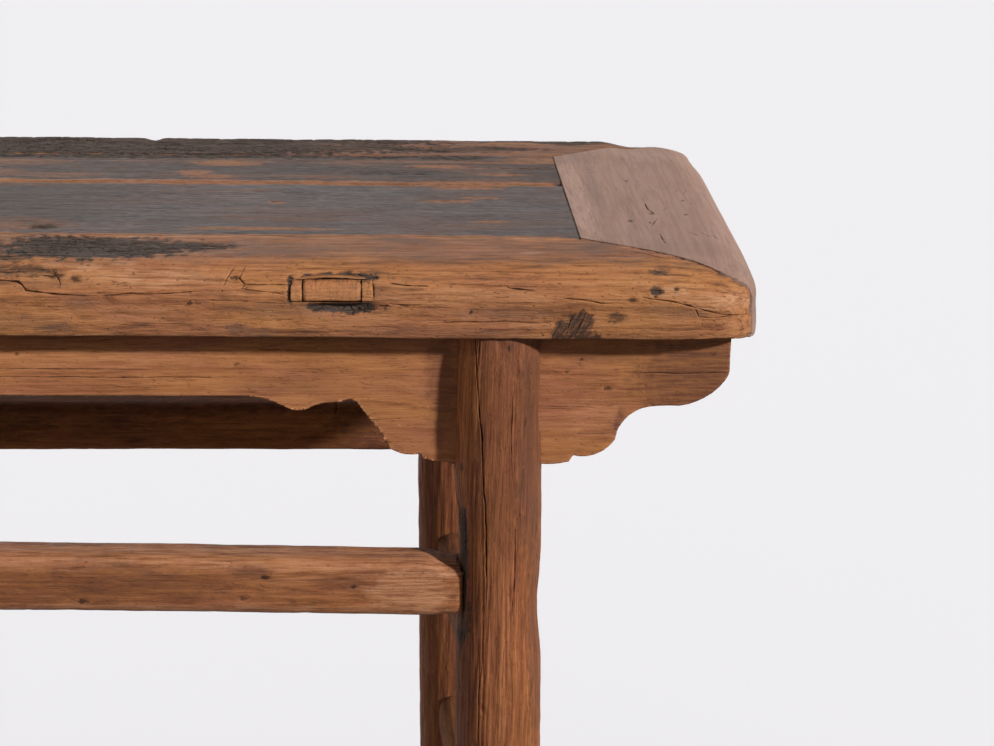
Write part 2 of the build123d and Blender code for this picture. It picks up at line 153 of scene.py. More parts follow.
RAIL_FRONT_PATCHES = [
    Patch("char", "top", (0.455, -0.150), (0.075, 0.027), 1.1),
    Patch("char", "top", (0.510, -0.146), (0.050, 0.012), 0.8),
    Patch("char", "top", (0.350, -0.176), (0.080, 0.010), 0.6),
    Patch("char", "top", (0.430, -0.168), (0.050, 0.010), 0.6),
    Patch("soil", "top", (0.400, -0.135), (0.150, 0.014), 0.8),
    Patch("soil", "top", (0.560, -0.150), (0.120, 0.022), 0.8),
    Patch("soil", "top", (0.700, -0.152), (0.100, 0.014), 0.5),
    Patch("soil", "top", (0.780, -0.160), (0.050, 0.012), 0.45),
    Patch("char", "front", (0.398, 0.853), (0.040, 0.004), 0.5),
    Patch("burn", "front", (0.804, 0.812), (0.011, 0.010), 1.0),
    Patch("burn", "front", (0.814, 0.817), (0.011, 0.011), 0.8),
    Patch("burn", "front", (0.820, 0.808), (0.010, 0.007), 1.0),
    Patch("burn", "front", (0.840, 0.823), (0.008, 0.005), 0.45),
    Patch("char", "front", (0.869, 0.8430), (0.005, 0.005), 0.7),
    Patch("rub", "front", (0.884, 0.8430), (0.012, 0.005), 0.8),
    Patch("char", "top", (0.873, -0.188), (0.010, 0.003), 0.45),
    Patch("soil", "front", (0.448, 0.833), (0.012, 0.006), 0.5),
    Patch("soil", "front", (0.430, 0.814), (0.016, 0.004), 0.8),
    Patch("soil", "front", (0.560, 0.814), (0.010, 0.005), 0.8),
    Patch("soil", "front", (0.578, 0.811), (0.014, 0.004), 0.8),
    Patch("soil", "top", (0.714, -0.176), (0.012, 0.005), 0.9),
    Patch("rub", "front", (0.484, 0.850), (0.012, 0.005), 1.0),
    Patch("rub", "top", (0.452, -0.186), (0.016, 0.004), 1.0),
    Patch("rub", "top", (0.478, -0.183), (0.010, 0.003), 0.9),
    Patch("rub", "top", (0.428, -0.184), (0.008, 0.003), 0.8),
    Patch("rub", "front", (0.520, 0.851), (0.022, 0.005), 0.7),
    Patch("rub", "front", (0.720, 0.840), (0.030, 0.004), 0.4),
    Patch("rub", "front", (0.918, 0.8400), (0.014, 0.006), 0.9),
    # Weathered grey wood and painted shadow in the hollows above and below the right outer tenon, and a dark
    # painted strip beside it
    Patch("char", "front", (0.638, 0.8505), (0.026, 0.0032), 1.5),
    Patch("char", "front", (0.638, 0.8290), (0.026, 0.0042), 1.4),
    Patch("char", "front", (0.6000, 0.841), (0.0025, 0.010), 1.0),
    Patch("rub", "top", (0.778, -0.160), (0.010, 0.004), 1.0),
    Patch("rub", "front", (0.495, 0.849), (0.055, 0.006), 0.6),
    Patch("rub", "front", (0.690, 0.839), (0.035, 0.006), 0.3),
    Patch("rub", "front", (0.915, 0.838), (0.028, 0.006), 0.6),
    Patch("rub", "front", (0.740, 0.836), (0.060, 0.008), 0.2),
    Patch("soil", "top", (0.620, -0.140), (0.220, 0.010), 0.5),
    Patch("soil", "front", (0.600, 0.828), (0.050, 0.006), 0.5),
    Patch("soil", "front", (0.885, 0.829), (0.030, 0.004), 0.5),
    Patch("soil", "front", (0.380, 0.818), (0.060, 0.006), 0.4),
    Patch("soil", "front", (0.700, 0.813), (0.060, 0.004), 0.4),
    Patch("soil", "front", (0.400, 0.846), (0.050, 0.005), 0.35),
    Patch("soil", "front", (0.760, 0.826), (0.040, 0.005), 0.5),
]
RAIL_BACK_PATCHES = [
    Patch("char", "top", (0.430, 0.162), (0.280, 0.060), 1.0),
    Patch("char", "top", (0.600, 0.188), (0.200, 0.014), 0.8),
    Patch("soil", "top", (0.660, 0.160), (0.160, 0.050), 0.9),
    Patch("char", "top", (0.645, 0.150), (0.060, 0.016), 0.7),
    Patch("char", "top", (0.815, 0.186), (0.050, 0.012), 0.9),
    Patch("rub", "top", (0.705, 0.178), (0.030, 0.006), 0.5),
    Patch("rub", "top", (0.586, 0.168), (0.020, 0.010), 0.8),
    Patch("rub", "top", (0.780, 0.160), (0.040, 0.008), 0.5),
    Patch("char", "top", (0.700, 0.140), (0.030, 0.006), 0.6),
    Patch("char", "top", (0.765, 0.148), (0.020, 0.005), 0.6),
    Patch("rub", "top", (0.730, 0.162), (0.030, 0.007), 0.5),
    Patch("soil", "top", (0.860, 0.170), (0.040, 0.020), 0.8),
    Patch("char", "top", (0.730, 0.135), (0.060, 0.007), 0.55),
    Patch("char", "top", (0.790, 0.190), (0.080, 0.008), 0.8),
    Patch("char", "top", (0.690, 0.165), (0.035, 0.010), 0.6),
    Patch("char", "top", (0.780, 0.172), (0.040, 0.008), 0.5),
    Patch("char", "top", (0.755, 0.142), (0.060, 0.008), 0.6),
    Patch("rub", "top", (0.660, 0.188), (0.025, 0.005), 0.6),
    Patch("rub", "top", (0.745, 0.176), (0.020, 0.006), 0.6),
]

PANEL_FRONT_PATCHES = [
    Patch("soil", "top", (0.370, -0.030), (0.110, 0.080), 1.0),
    Patch("soil", "top", (0.395, -0.010), (0.030, 0.020), 0.5),
    Patch("soil", "top", (0.560, -0.085), (0.090, 0.012), 0.5),
    Patch("rub", "top", (0.725, -0.022), (0.022, 0.004), 0.8),
    Patch("rub", "top", (0.750, -0.012), (0.016, 0.003), 0.7),
    Patch("rub", "top", (0.755, -0.078), (0.014, 0.004), 0.5),
    Patch("rub", "top", (0.580, -0.100), (0.060, 0.004), 0.5),
    Patch("rub", "top", (0.588, -0.028), (0.008, 0.004), 0.5),
    Patch("rub", "top", (0.385, -0.090), (0.045, 0.020), 0.6),
    Patch("rub", "top", (0.370, 0.020), (0.050, 0.006), 0.5),
    Patch("char", "top", (0.412, -0.100), (0.014, 0.008), 0.6),
    Patch("rub", "top", (0.700, 0.0275), (0.090, 0.0035), 1.0),
    Patch("rub", "top", (0.560, 0.0285), (0.240, 0.0025), 0.9),
    Patch("rub", "top", (0.740, 0.0200), (0.030, 0.0080), 0.6),
]
PANEL_FRONT_KNOTS = [Knot("top", (0.410, -0.098), 4), Knot("top", (0.586, -0.026), 2.5)]
PANEL_BACK_PATCHES = [
    Patch("char", "top", (0.430, 0.1150), (0.240, 0.0110), 1.1),
    Patch("char", "top", (0.640, 0.1140), (0.060, 0.0090), 0.8),
    Patch("char", "top", (0.735, 0.1120), (0.030, 0.0070), 0.6),
    Patch("rub", "top", (0.740, 0.0990), (0.080, 0.0030), 1.0),
    Patch("rub", "top", (0.380, 0.0900), (0.040, 0.0080), 0.5),
    Patch("rub", "top", (0.545, 0.0880), (0.030, 0.0070), 0.4),
    Patch("soil", "top", (0.700, 0.1080), (0.110, 0.0120), 0.8),
    Patch("rub", "top", (0.345, 0.060), (0.040, 0.012), 0.45),
    Patch("rub", "top", (0.400, 0.050), (0.050, 0.008), 0.35),
    Patch("rub", "top", (0.520, 0.060), (0.014, 0.010), 0.45),
    Patch("rub", "top", (0.535, 0.048), (0.020, 0.006), 0.4),
    Patch("rub", "top", (0.720, 0.085), (0.026, 0.006), 0.5),
    Patch("rub", "top", (0.770, 0.060), (0.025, 0.005), 0.4),
    Patch("soil", "top", (0.620, 0.070), (0.100, 0.016), 0.6),
    Patch("soil", "top", (0.380, 0.072), (0.110, 0.030), 0.7),
    Patch("char", "top", (0.800, 0.080), (0.030, 0.006), 0.5),
    Patch("char", "top", (0.690, 0.062), (0.040, 0.005), 0.4),
    Patch("rub", "top", (0.800, 0.105), (0.025, 0.010), 0.8),
]

END_RAIL_CRACKS = [
    Crack("top", 0.6, 1.2, [(0.8664, -0.1485), (0.8834, -0.1590), (0.9004, -0.1696), (0.9173, -0.1802),
                            (0.9300, -0.1881), (0.9400, -0.1943)]),
    Crack("top", 0.35, 0.5, [(0.905, -0.100), (0.912, -0.112)]),
    Crack("top", 0.35, 0.5, [(0.916, -0.103), (0.921, -0.116)]),
    Crack("top", 0.35, 0.5, [(0.924, -0.108), (0.927, -0.118)]),
    Crack("top", 0.35, 0.5, [(0.914, 0.022), (0.910, 0.010)]),
    Crack("top", 0.35, 0.5, [(0.921, 0.020), (0.916, 0.004)]),
    Crack("top", 0.35, 0.5, [(0.893, -0.045), (0.897, -0.035)]),
    Crack("top", 0.9, 1.0, [(0.881, -0.024), (0.882, -0.040), (0.885, -0.054)]),
    Crack("top", 0.7, 0.8, [(0.886, -0.066), (0.881, -0.080), (0.879, -0.088)]),
    Crack("top", 0.7, 0.8, [(0.882, -0.108), (0.883, -0.120), (0.884, -0.134)]),
    Crack("top", 0.4, 0.5, [(0.875, -0.124), (0.890, -0.121), (0.908, -0.117)]),
]
END_RAIL_KNOTS = [
    Knot("top", (0.864, -0.073), 3.0), Knot("top", (0.883, -0.053), 2.0), Knot("top", (0.910, -0.055), 2.0),
    Knot("top", (0.874, 0.044), 1.8), Knot("top", (0.913, -0.014), 1.8), Knot("top", (0.879, -0.078), 1.8),
]
END_RAIL_PATCHES = [
    Patch("rub", "top", (0.828, -0.01), (0.010, 0.130), 0.7),
    Patch("soil", "top", (0.845, 0.02), (0.005, 0.080), 0.45),
    Patch("soil", "top", (0.835, 0.115), (0.030, 0.020), 0.35),
    Patch("soil", "top", (0.900, -0.140), (0.040, 0.018), 0.30),
    Patch("soil", "right", (-0.170, 0.835), (0.030, 0.020), 0.5),
]

LEG_SEEN_CRACKS = [
    Crack("front", 0.6, 1.6, [(0.7365, 0.806), (0.7375, 0.797), (0.7385, 0.785), (0.7400, 0.770)]),
    Crack("front", 0.5, 1.2, [(0.7405, 0.806), (0.7402, 0.795), (0.7404, 0.782)]),
    Crack("front", 0.8, 2.2, [(0.7400, 0.775), (0.7415, 0.750), (0.7440, 0.724), (0.7450, 0.700),
                              (0.7475, 0.672), (0.7485, 0.640), (0.7500, 0.612), (0.7500, 0.590)]),
    Crack("front", 0.4, 1.0, [(0.7480, 0.572), (0.7480, 0.540), (0.7465, 0.510), (0.7470, 0.470)]),
    Crack("front", 0.35, 0.8, [(0.7385, 0.660), (0.7390, 0.620), (0.7400, 0.580), (0.7420, 0.540)]),
    Crack("front", 0.5, 1.2, [(0.7700, 0.655), (0.7710, 0.620), (0.7705, 0.580)]),
    Crack("front", 0.3, 0.7, [(0.7640, 0.600), (0.7645, 0.560), (0.7635, 0.520)]),
    Crack("front", 0.4, 1.0, [(0.7650, 0.760), (0.7655, 0.720), (0.7665, 0.690)]),
]
LEG_SEEN_PATCHES = [
    Patch("char", "front", (0.731, 0.625), (0.005, 0.045), 0.75),
    Patch("char", "front", (0.732, 0.575), (0.007, 0.030), 0.6),
    Patch("char", "front", (0.732, 0.556), (0.004, 0.008), 0.9),
    Patch("soil", "front", (0.731, 0.500), (0.008, 0.090), 0.6),
    Patch("soil", "front", (0.762, 0.800), (0.030, 0.010), 0.45),
    Patch("soil", "front", (0.757, 0.720), (0.020, 0.110), 0.35),
    # The leg's right side: darker weathered furrows, and painted shade that flattens the key light across
    # the leg
    Patch("soil", "front", (0.783, 0.720), (0.016, 0.110), 0.8),
    Patch("soil", "front", (0.790, 0.560), (0.006, 0.120), 0.6),
    # The leg's left side: rubbed pale ridges, and painted light on the side turned from the key
    Patch("rub", "front", (0.733, 0.740), (0.009, 0.080), 0.9),
    Patch("rub", "front", (0.760, 0.540), (0.012, 0.090), 0.5),
    Patch("rub", "front", (0.756, 0.620), (0.010, 0.050), 0.4),
]
LEG_SEEN_KNOTS = [Knot("front", (0.731, 0.698), 2.5), Knot("front", (0.762, 0.796), 1.8)]

APRON_FRONT_CRACKS = [
    Crack("front", 0.5, 0.8, [(0.856, 0.769), (0.879, 0.7695), (0.902, 0.769), (0.930, 0.770)]),
    Crack("front", 0.5, 0.7, [(0.33, 0.7705), (0.42, 0.770), (0.50, 0.7695)]),
    Crack("front", 0.5, 0.7, [(0.38, 0.763), (0.46, 0.7625), (0.56, 0.7630)]),
    Crack("front", 0.5, 0.7, [(0.78, 0.742), (0.80, 0.7425), (0.83, 0.7415)]),
]
APRON_FRONT_KNOTS = [
    Knot("front", (0.9190, 0.784), 1.5), Knot("front", (0.819, 0.780), 1.4),
    Knot("front", (0.398, 0.783), 1.5), Knot("front", (0.840, 0.757), 2.5),
    Knot("front", (0.808, 0.770), 1.4), Knot("front", (0.560, 0.775), 1.5),
]
APRON_FRONT_PATCHES = [
    Patch("rub", "front", (0.830, 0.735), (0.020, 0.015), 0.5),
    Patch("rub", "front", (0.450, 0.780), (0.120, 0.010), 0.4),
    Patch("soil", "front", (0.905, 0.770), (0.045, 0.035), 0.95),
    Patch("soil", "front", (0.880, 0.752), (0.020, 0.008), 0.6),
    Patch("char", "front", (0.848, 0.731), (0.003, 0.009), 0.35),
    Patch("soil", "front", (0.850, 0.728), (0.006, 0.012), 0.6),
    # Painted shadow that the front right leg casts on the apron
    Patch("soil", "front", (0.712, 0.760), (0.012, 0.050), 0.8),
    Patch("soil", "front", (0.850, 0.785), (0.060, 0.008), 0.6),
    Patch("soil", "front", (0.600, 0.756), (0.040, 0.006), 0.3),
]

STRETCHER_BACK_CRACKS = [Crack("front", 1.0, 1.2, [(0.638, 0.622), (0.637, 0.605), (0.636, 0.588)])]
STRETCHER_BACK_PAINTED_SHADE = [
    # Painted shade on the rear stretcher's top, under the table top
    Patch("soil", "top", (0.0, 0.168), (0.75, 0.03), 1.0),
    # Painted shadow on the rear stretcher's front, right of the crack
    Patch("soil", "front", (0.690, 0.605), (0.055, 0.035), 1.0),
]
STRETCHER_FRONT_KNOTS = [
    Knot("front", (0.581, 0.608), 2.6), Knot("front", (0.564, 0.590), 2.2),
    Knot("front", (0.648, 0.601), 2.0), Knot("front", (0.442, 0.586), 3.0),
]
STRETCHER_FRONT_PATCHES = [
    # Pale wear and a painted highlight along the stretcher's top front edge
    Patch("rub", "top", (0.600, -0.186), (0.120, 0.003), 0.8),
    Patch("soil", "front", (0.400, 0.605), (0.060, 0.008), 0.6),
    Patch("soil", "front", (0.530, 0.602), (0.030, 0.006), 0.5),
    Patch("rub", "front", (0.610, 0.607), (0.060, 0.004), 0.6),
    Patch("soil", "front", (0.460, 0.600), (0.110, 0.016), 0.6),
    Patch("soil", "front", (0.400, 0.590), (0.050, 0.006), 0.7),
    Patch("soil", "front", (0.500, 0.590), (0.040, 0.005), 0.6),
    Patch("rub", "front", (0.500, 0.611), (0.030, 0.004), 0.5),
    Patch("rub", "front", (0.430, 0.612), (0.040, 0.003), 0.6),
    Patch("soil", "front", (0.455, 0.587), (0.020, 0.004), 0.6),
    Patch("soil", "front", (0.470, 0.615), (0.024, 0.003), 0.6),
    # Pale wear and painted light at the stretcher's right end, lifting the leg's shadow there
    Patch("rub", "front", (0.705, 0.590), (0.014, 0.012), 1.8),
    Patch("rub", "front", (0.690, 0.598), (0.035, 0.020), 1.2),
    Patch("rub", "front", (0.540, 0.582), (0.200, 0.004), 0.9),
    Patch("soil", "front", (0.569, 0.612), (0.018, 0.004), 0.8),
    Patch("soil", "front", (0.640, 0.604), (0.020, 0.005), 0.5),
    # Pale wear and a painted highlight over the stretcher's top face
    Patch("rub", "top", (0.520, -0.177), (0.300, 0.014), 0.9),
    # Painted light on the top of the stretcher's right end, lifting the leg's shadow
    Patch("rub", "top", (0.712, -0.176), (0.025, 0.016), 1.0),
    Patch("rub", "front", (0.620, 0.598), (0.050, 0.016), 0.3),
]


# Mesh tools

SHARP = radians(28)  # an edge that turns more than this stays crisp
TOUCHING = 0.6 * MM  # an edge so near to another piece belongs to a joint
SAMPLE_STEP = 0.8 * MM
CRACK_STEP = 0.6 * MM


def merged_copy(node):
    """A CAD node's form in place, with its loose triangles joined."""
    bm = bmesh.new()
    bm.from_mesh(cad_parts[node].data)
    bmesh.ops.remove_doubles(bm, verts=bm.verts, dist=0.01 * MM)
    bm.normal_update()
    return bm


def other_pieces(node):
    """Search tree over every CAD node but one."""
    points, faces = [], []
    for name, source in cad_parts.items():
        if name == node:
            continue
        first = len(points)
        points += [vert.co.copy() for vert in source.data.vertices]
        faces += [[first + index for index in face.vertices] for face in source.data.polygons]
    return BVHTree.FromPolygons(points, faces)


def edge_lines(bm, others):
    """Sample points on a form's sharp edges: those that meet another piece, and the free ones."""
    seams, arrises = [], []
    for edge in bm.edges:
        if len(edge.link_faces) == 2 and edge.calc_face_angle(0) < SHARP:
            continue
        start, stop = (vert.co for vert in edge.verts)
        count = max(1, int((stop - start).length / SAMPLE_STEP))
        for index in range(count + 1):
            point = start.lerp(stop, index / count)
            touching = others.find_nearest(point, TOUCHING)[0] is not None
            (seams if touching else arrises).append(point)
    return seams, arrises


def search_tree(points):
    """KD tree over points, or none if there are no points."""
    tree = kdtree.KDTree(len(points))
    for index, point in enumerate(points):
        tree.insert(point, index)
    tree.balance()
    return tree if points else None


def distance(tree, point, cap):
    """Distance from a point to the nearest in a tree, up to a cap."""
    return cap if tree is None else min(cap, tree.find(point)[2])


def even_skin(bm, voxel):
    """The same closed form as one even skin of quads."""
    mesh = bpy.data.meshes.new("skin")
    bm.to_mesh(mesh)
    holder = bpy.data.objects.new("skin", mesh)
    bpy.context.scene.collection.objects.link(holder)
    remesh = holder.modifiers.new("Remesh", "REMESH")
    remesh.mode = "VOXEL"
    remesh.voxel_size = voxel
    graph = bpy.context.evaluated_depsgraph_get()
    even = bpy.data.meshes.new_from_object(holder.evaluated_get(graph))
    skin = bmesh.new()
    skin.from_mesh(even)
    bpy.data.objects.remove(holder)
    bpy.data.meshes.remove(mesh)
    bpy.data.meshes.remove(even)
    return skin


def snap_to_edges(bm, points, reach):
    """Pulls the skin's vertices beside a sharp edge onto it, and joins those that meet there."""
    tree = search_tree(points)
    if tree is None:
        return
    for vert in bm.verts:
        place, _, gap = tree.find(vert.co)
        if gap < reach:
            vert.co = place
    bmesh.ops.remove_doubles(bm, verts=bm.verts, dist=0.02 * MM)
    bmesh.ops.dissolve_degenerate(bm, dist=0.01 * MM, edges=bm.edges)
    bm.verts.index_update()


def drape(bm, cracks):
    """Sample points of cracks laid on the skin, each with its half width and depth."""
    tree = BVHTree.FromBMesh(bm)
    samples = []
    for crack in cracks:
        direction, start = SIDES[crack.side]
        lengths = [(Vector(b) - Vector(a)).length for a, b in zip(crack.line, crack.line[1:])]
        whole = sum(lengths)
        done = 0.0
        for (a, b), length in zip(zip(crack.line, crack.line[1:]), lengths):
            count = max(1, int(length / CRACK_STEP))
            for index in range(count):
                share = index / count
                run = done + share * length
                along = run / whole
                uneven = 0.75 + 0.7 * noise.noise(Vector((130 * run, 8, whole * 90)))
                taper = min(1.0, 4 * along, 4 * (1 - along)) ** 0.5 * uneven
                wander = 0.6 * MM * noise.noise(Vector((60 * run, 3, whole * 90)))
                flat = Vector(a).lerp(Vector(b), share)
                across = (Vector(b) - Vector(a)).orthogonal().normalized()
                flat += wander * across
                hit = tree.ray_cast(start(*flat), direction)[0]
                if hit is not None:
                    samples.append((hit, 0.5 * crack.width * taper * MM, crack.depth * taper * MM))
            done += length
    return samples


def refine(bm, wanted):
    """Cuts every face that has a wanted corner into four."""
    faces = [face for face in bm.faces if any(wanted[vert.index] for vert in face.verts)]
    edges = {edge for face in faces for edge in face.edges}
    bmesh.ops.subdivide_edges(bm, edges=list(edges), cuts=1, use_grid_fill=True)
    bm.verts.index_update()


def mark_places(bm, marks):
    """Knots or patches with their places laid on the skin."""
    tree = BVHTree.FromBMesh(bm)
    placed = []
    for mark in marks:
        direction, start = SIDES[mark.side]
        hit = tree.ray_cast(start(*mark.place), direction)[0]
        if hit is not None:
            placed.append((mark, hit))
    return placed


# Measures of a point

def smoothstep(low, high, value):
    """Nought below low, one above high, and a soft rise between."""
    share = min(1.0, max(0.0, (value - low) / (high - low)))
    return share * share * (3 - 2 * share)


def hump(value, middle, reach):
    """One at a middle value, falling softly to nought on both sides."""
    return exp(-((value - middle) / reach) ** 2)


def stretched(point, grain, squeeze):
    """The point with its coordinate along the grain squeezed, so that patterns run long."""
    long = point.copy()
    long[grain] *= squeeze
    return long


def turned_to(side, normal):
    """How far a surface faces the side that a mark is seen from."""
    return smoothstep(-0.15, 0.35, -SIDES[side][0].dot(normal))


def patch_strength(patch, centre, point, normal):
    """How strongly a patch covers a point, with a ragged rim."""
    offset = point - centre
    flat = [offset[axis] for axis in range(3) if abs(SIDES[patch.side][0][axis]) < 0.5]
    reach = sqrt((flat[0] / patch.reach[0]) ** 2 + (flat[1] / patch.reach[1]) ** 2)
    if reach > 1.7:
        return 0.0
    ragged = 0.35 * noise.noise(150 * point) + 0.25 * noise.noise(420 * point)
    return patch.strength * turned_to(patch.side, normal) * (1 - smoothstep(0.55, 1.35, reach + ragged))


# Relief: how far old wear takes a surface in, in metres

def waves(point, size, depth):
    """Long shallow unevenness of a surface worn by hand, in and out."""
    place = point / size
    return depth * (0.5 * noise.noise(place) + 0.2 * noise.noise(3.1 * place))


def grooves(point, grain, pitch, squeeze=0.05):
    """Share of the depth of narrow grooves along the grain, where the soft wood has gone."""
    ridge = 1 - 2.2 * abs(noise.noise(stretched(point, grain, squeeze) / pitch))
    return max(0.0, ridge) ** 2


def chips(point, size, depth, grain):
    """Scattered small dents and bruises."""
    value = noise.noise(stretched(point, grain, 0.45) / size + Vector((11, 5, 2)))
    return depth * smoothstep(0.42, 0.72, value)


def crackle(point, size):
    """Depth share of the cracks between the small blocks of charred or dried-out wood."""
    long = stretched(point, ALONG_X, 0.4) / size
    near, second = noise.voronoi(long)[0][:2]
    return 1 - smoothstep(0.02, 0.25, second - near)


def worn(grain, size=0.05, wave=0.8, pitch=0.0045, groove=0.25, chip=0.4, inward=0.0):
    """A piece's relief: waves, grooves and chips, with depths in millimetres."""
    def relief(point, normal):
        cut = grooves(point, grain, pitch)
        depth = waves(point, size, wave * MM) + groove * MM * (cut - 0.15)
        return depth + chips(point, 0.2 * size, chip * MM, grain) + inward * MM, cut
    return relief


def joint_line(point):
    """How dark and open the joint nearest to a point is, and how strong the painted shade beside it is."""
    on_panel = point.z > 0.85 and abs(point.y) < 0.135
    at_right_end = abs(point.x - PANEL_CORNER.x) < 0.004
    if on_panel and at_right_end:
        return 0.45 if point.y < 0.01 else 0.25
    if on_panel and abs(point.x) < PANEL_CORNER.x:
        return 0.05
    on_end_rail = abs(point.x) > 0.84
    if on_end_rail:
        return 0.10
    by_tenon = abs(point.y) > 0.19 and 0.825 < point.z < 0.856
    return 0.30 if by_tenon else 0.4


@dataclass
class Piece:
    """What a piece is made from and how it has aged."""

    node: str
    slot: str
    grain: int
    voxel: float = 2.5  # width of the skin's faces, in millimetres
    fine: Callable = None  # tells of a point and its normal whether the faces there are finer
    relief: Callable = None  # gives a point's depth of wear, and its share of a groove's depth
    cracks: Sequence = ()
    knots: Sequence = ()
    patches: Sequence = ()
    arris_wear: float = 0.7  # depth of wear along the free edges, in millimetres
    soften: int = 3  # times that the skin is smoothed between its edges
    seed: int = 0
    bow: Callable = None  # gives a point's shift, where the piece is bent or out of true
    # For the aprons this also paints shade under the top
    age: Callable = None  # changes a point's layers of age


# What the mesh carries of each vertex: its distance from a joint, a free edge and a crack in
# millimetres, how open the joint is, and how far the vertex is grooved or covered by a mark, painted light
# and shade among the marks
LAYERS = ("seam", "joint", "arris", "split", "groove", "char", "burn", "soil", "rub", "knot")
SEAM_WEAR = 0.25  # depth of wear along the joints, in millimetres
FAR = 25 * MM  # the farthest that a joint or a free edge is told
FAR_FROM_CRACKS = 6  # the farthest that a crack is told, in millimetres


def knot_strength(knot, centre, point, grain):
    """How strongly a knot covers a point: longer along the grain, with an uneven rim."""
    offset = point - centre
    offset[grain] *= 0.6
    gap = offset.length / (knot.radius * MM)
    return 0.0 if gap > 2.5 else exp(-gap * gap) * (0.85 + 0.6 * noise.noise(500 * point))


class Skin:
    """A piece's even skin with crisp edges, and the joints, free edges, cracks and marks on it."""

    def __init__(self, piece):
        self.piece = piece
        form = merged_copy(piece.node)
        seams, arrises = edge_lines(form, other_pieces(piece.node))
        self.seam_tree = search_tree(seams)
        self.arris_tree = search_tree(arrises)
        voxel = piece.voxel * MM * 1.0
        self.bm = even_skin(form, voxel)
        form.free()
        snap_to_edges(self.bm, seams + arrises, reach=0.7 * voxel)
        self.soften(clear=1.2 * voxel)
        self.samples = drape(self.bm, piece.cracks)
        self.crack_tree = search_tree([place for place, _, _ in self.samples])
        self.make_finer()
        self.knots = mark_places(self.bm, piece.knots)
        self.patches = mark_places(self.bm, piece.patches)

    def soften(self, clear):
        """Smooths the skin wherever it is that far from every edge."""
        self.bm.normal_update()
        loose = [vert for vert in self.bm.verts if distance(self.seam_tree, vert.co, 1) > clear
                 and distance(self.arris_tree, vert.co, 1) > clear]
        for _ in range(self.piece.soften):
            bmesh.ops.smooth_vert(self.bm, verts=loose, factor=0.5, use_axis_x=True, use_axis_y=True,
                                  use_axis_z=True)
        self.bm.normal_update()

    def near_crack(self, point, reach):
        """Whether a point lies within a reach of a crack."""
        return distance(self.crack_tree, point, 1) < reach

    def make_finer(self):
        """Makes the faces finer where the piece asks for it, and finer still along the cracks."""
        bm = self.bm
        fine = self.piece.fine or (lambda point, normal: False)
        if self.piece.fine:
            refine(bm, [fine(vert.co, vert.normal) for vert in bm.verts])
            bm.normal_update()
        if self.crack_tree:
            refine(bm, [self.near_crack(vert.co, 2.6 * MM) for vert in bm.verts])
            bm.normal_update()
            refine(bm, [self.near_crack(vert.co, 1.3 * MM) and fine(vert.co, vert.normal)
                        for vert in bm.verts])
            bm.normal_update()

    def add_marks(self, values, point, normal):
        """Puts the patches and knots that cover a point into its layers of age."""
        for patch, centre in self.patches:
            if (point - centre).length < 1.8 * max(patch.reach):
                strength = patch_strength(patch, centre, point, normal)
                values[patch.layer] = max(values[patch.layer], strength)
        for knot, centre in self.knots:
            if (point - centre).length < 5 * knot.radius * MM:
                strength = knot_strength(knot, centre, point, self.piece.grain)
                values["knot"] = max(values["knot"], strength)

    def edge_unevenness(self, point):
        """How unevenly the edges are worn, between nought and about one and a half."""
        place = stretched(point, self.piece.grain, 0.3) * 60 + Vector((self.piece.seed, 0, 0))
        return max(0.0, 0.55 + 0.9 * noise.noise(place))

    def crack_at(self, point):
        """How deep a crack is at a point, and how far in millimetres the point is from its edge."""
        if not self.crack_tree:
            return 0.0, FAR_FROM_CRACKS
        _, index, gap = self.crack_tree.find(point)
        _, half_width, depth = self.samples[index]
        share = 1 - smoothstep(0.3 * half_width, 1.2 * half_width + 0.5 * MM, gap)
        return depth * share, min(FAR_FROM_CRACKS, (gap - half_width) / MM)

    def wear_at(self, point, normal):
        """How deep the skin is worn in at a point, and the point's layers of age."""
        piece = self.piece
        depth, groove = piece.relief(point, normal)
        seam = distance(self.seam_tree, point, FAR)
        arris = distance(self.arris_tree, point, FAR)
        values = dict.fromkeys(LAYERS, 0.0)
        values.update(seam=seam / MM, arris=arris / MM, groove=groove, joint=joint_line(point))
        self.add_marks(values, point, normal)
        if piece.age:
            piece.age(point, normal, values)
        if values["char"] > 0.02:
            depth += values["char"] * (0.8 * crackle(point, 5.5 * MM) + 0.5) * MM
        depth += values["knot"] * 0.5 * MM
        uneven = self.edge_unevenness(point)
        depth += SEAM_WEAR * MM * uneven * (1 - smoothstep(0, 2.0 * MM, seam))
        depth += piece.arris_wear * MM * uneven * (1 - smoothstep(0, 5 * MM, arris))
        crack_depth, values["split"] = self.crack_at(point)
        return depth + crack_depth, values


def within_frame(place):
    """A place moved no further than the sides of the whole CAD form."""
    return [min(max(part, low), high) for part, low, high in zip(place, cad_low, cad_high)]


def aged_mesh(piece):
    """The piece's form with crisp edges, wear, cracks, and its layers of age as attributes."""
    skin = Skin(piece)
    bm = skin.bm
    layers = {name: bm.verts.layers.float.new(name) for name in LAYERS}
    shifts = []
    for vert in bm.verts:
        depth, values = skin.wear_at(vert.co, vert.normal)
        for name, value in values.items():
            vert[layers[name]] = value
        shifts.append(-vert.normal * depth + (piece.bow(vert.co) if piece.bow else Vector()))
    for vert, shift in zip(bm.verts, shifts):
        vert.co = within_frame(vert.co + shift)
    for face in bm.faces:
        face.smooth = True
    mesh = bpy.data.meshes.new(f"{piece.node}_worn")
    bm.to_mesh(mesh)
    bm.free()
    return mesh


def make(piece, material):
    """Puts a worn piece in the place of its CAD node."""
    worn = bpy.data.objects.new(f"{piece.node}_worn", aged_mesh(piece))
    bpy.context.scene.collection.objects.link(worn)
    worn.data.materials.append(material)
    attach(worn, ROOT)
    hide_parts(piece.node)


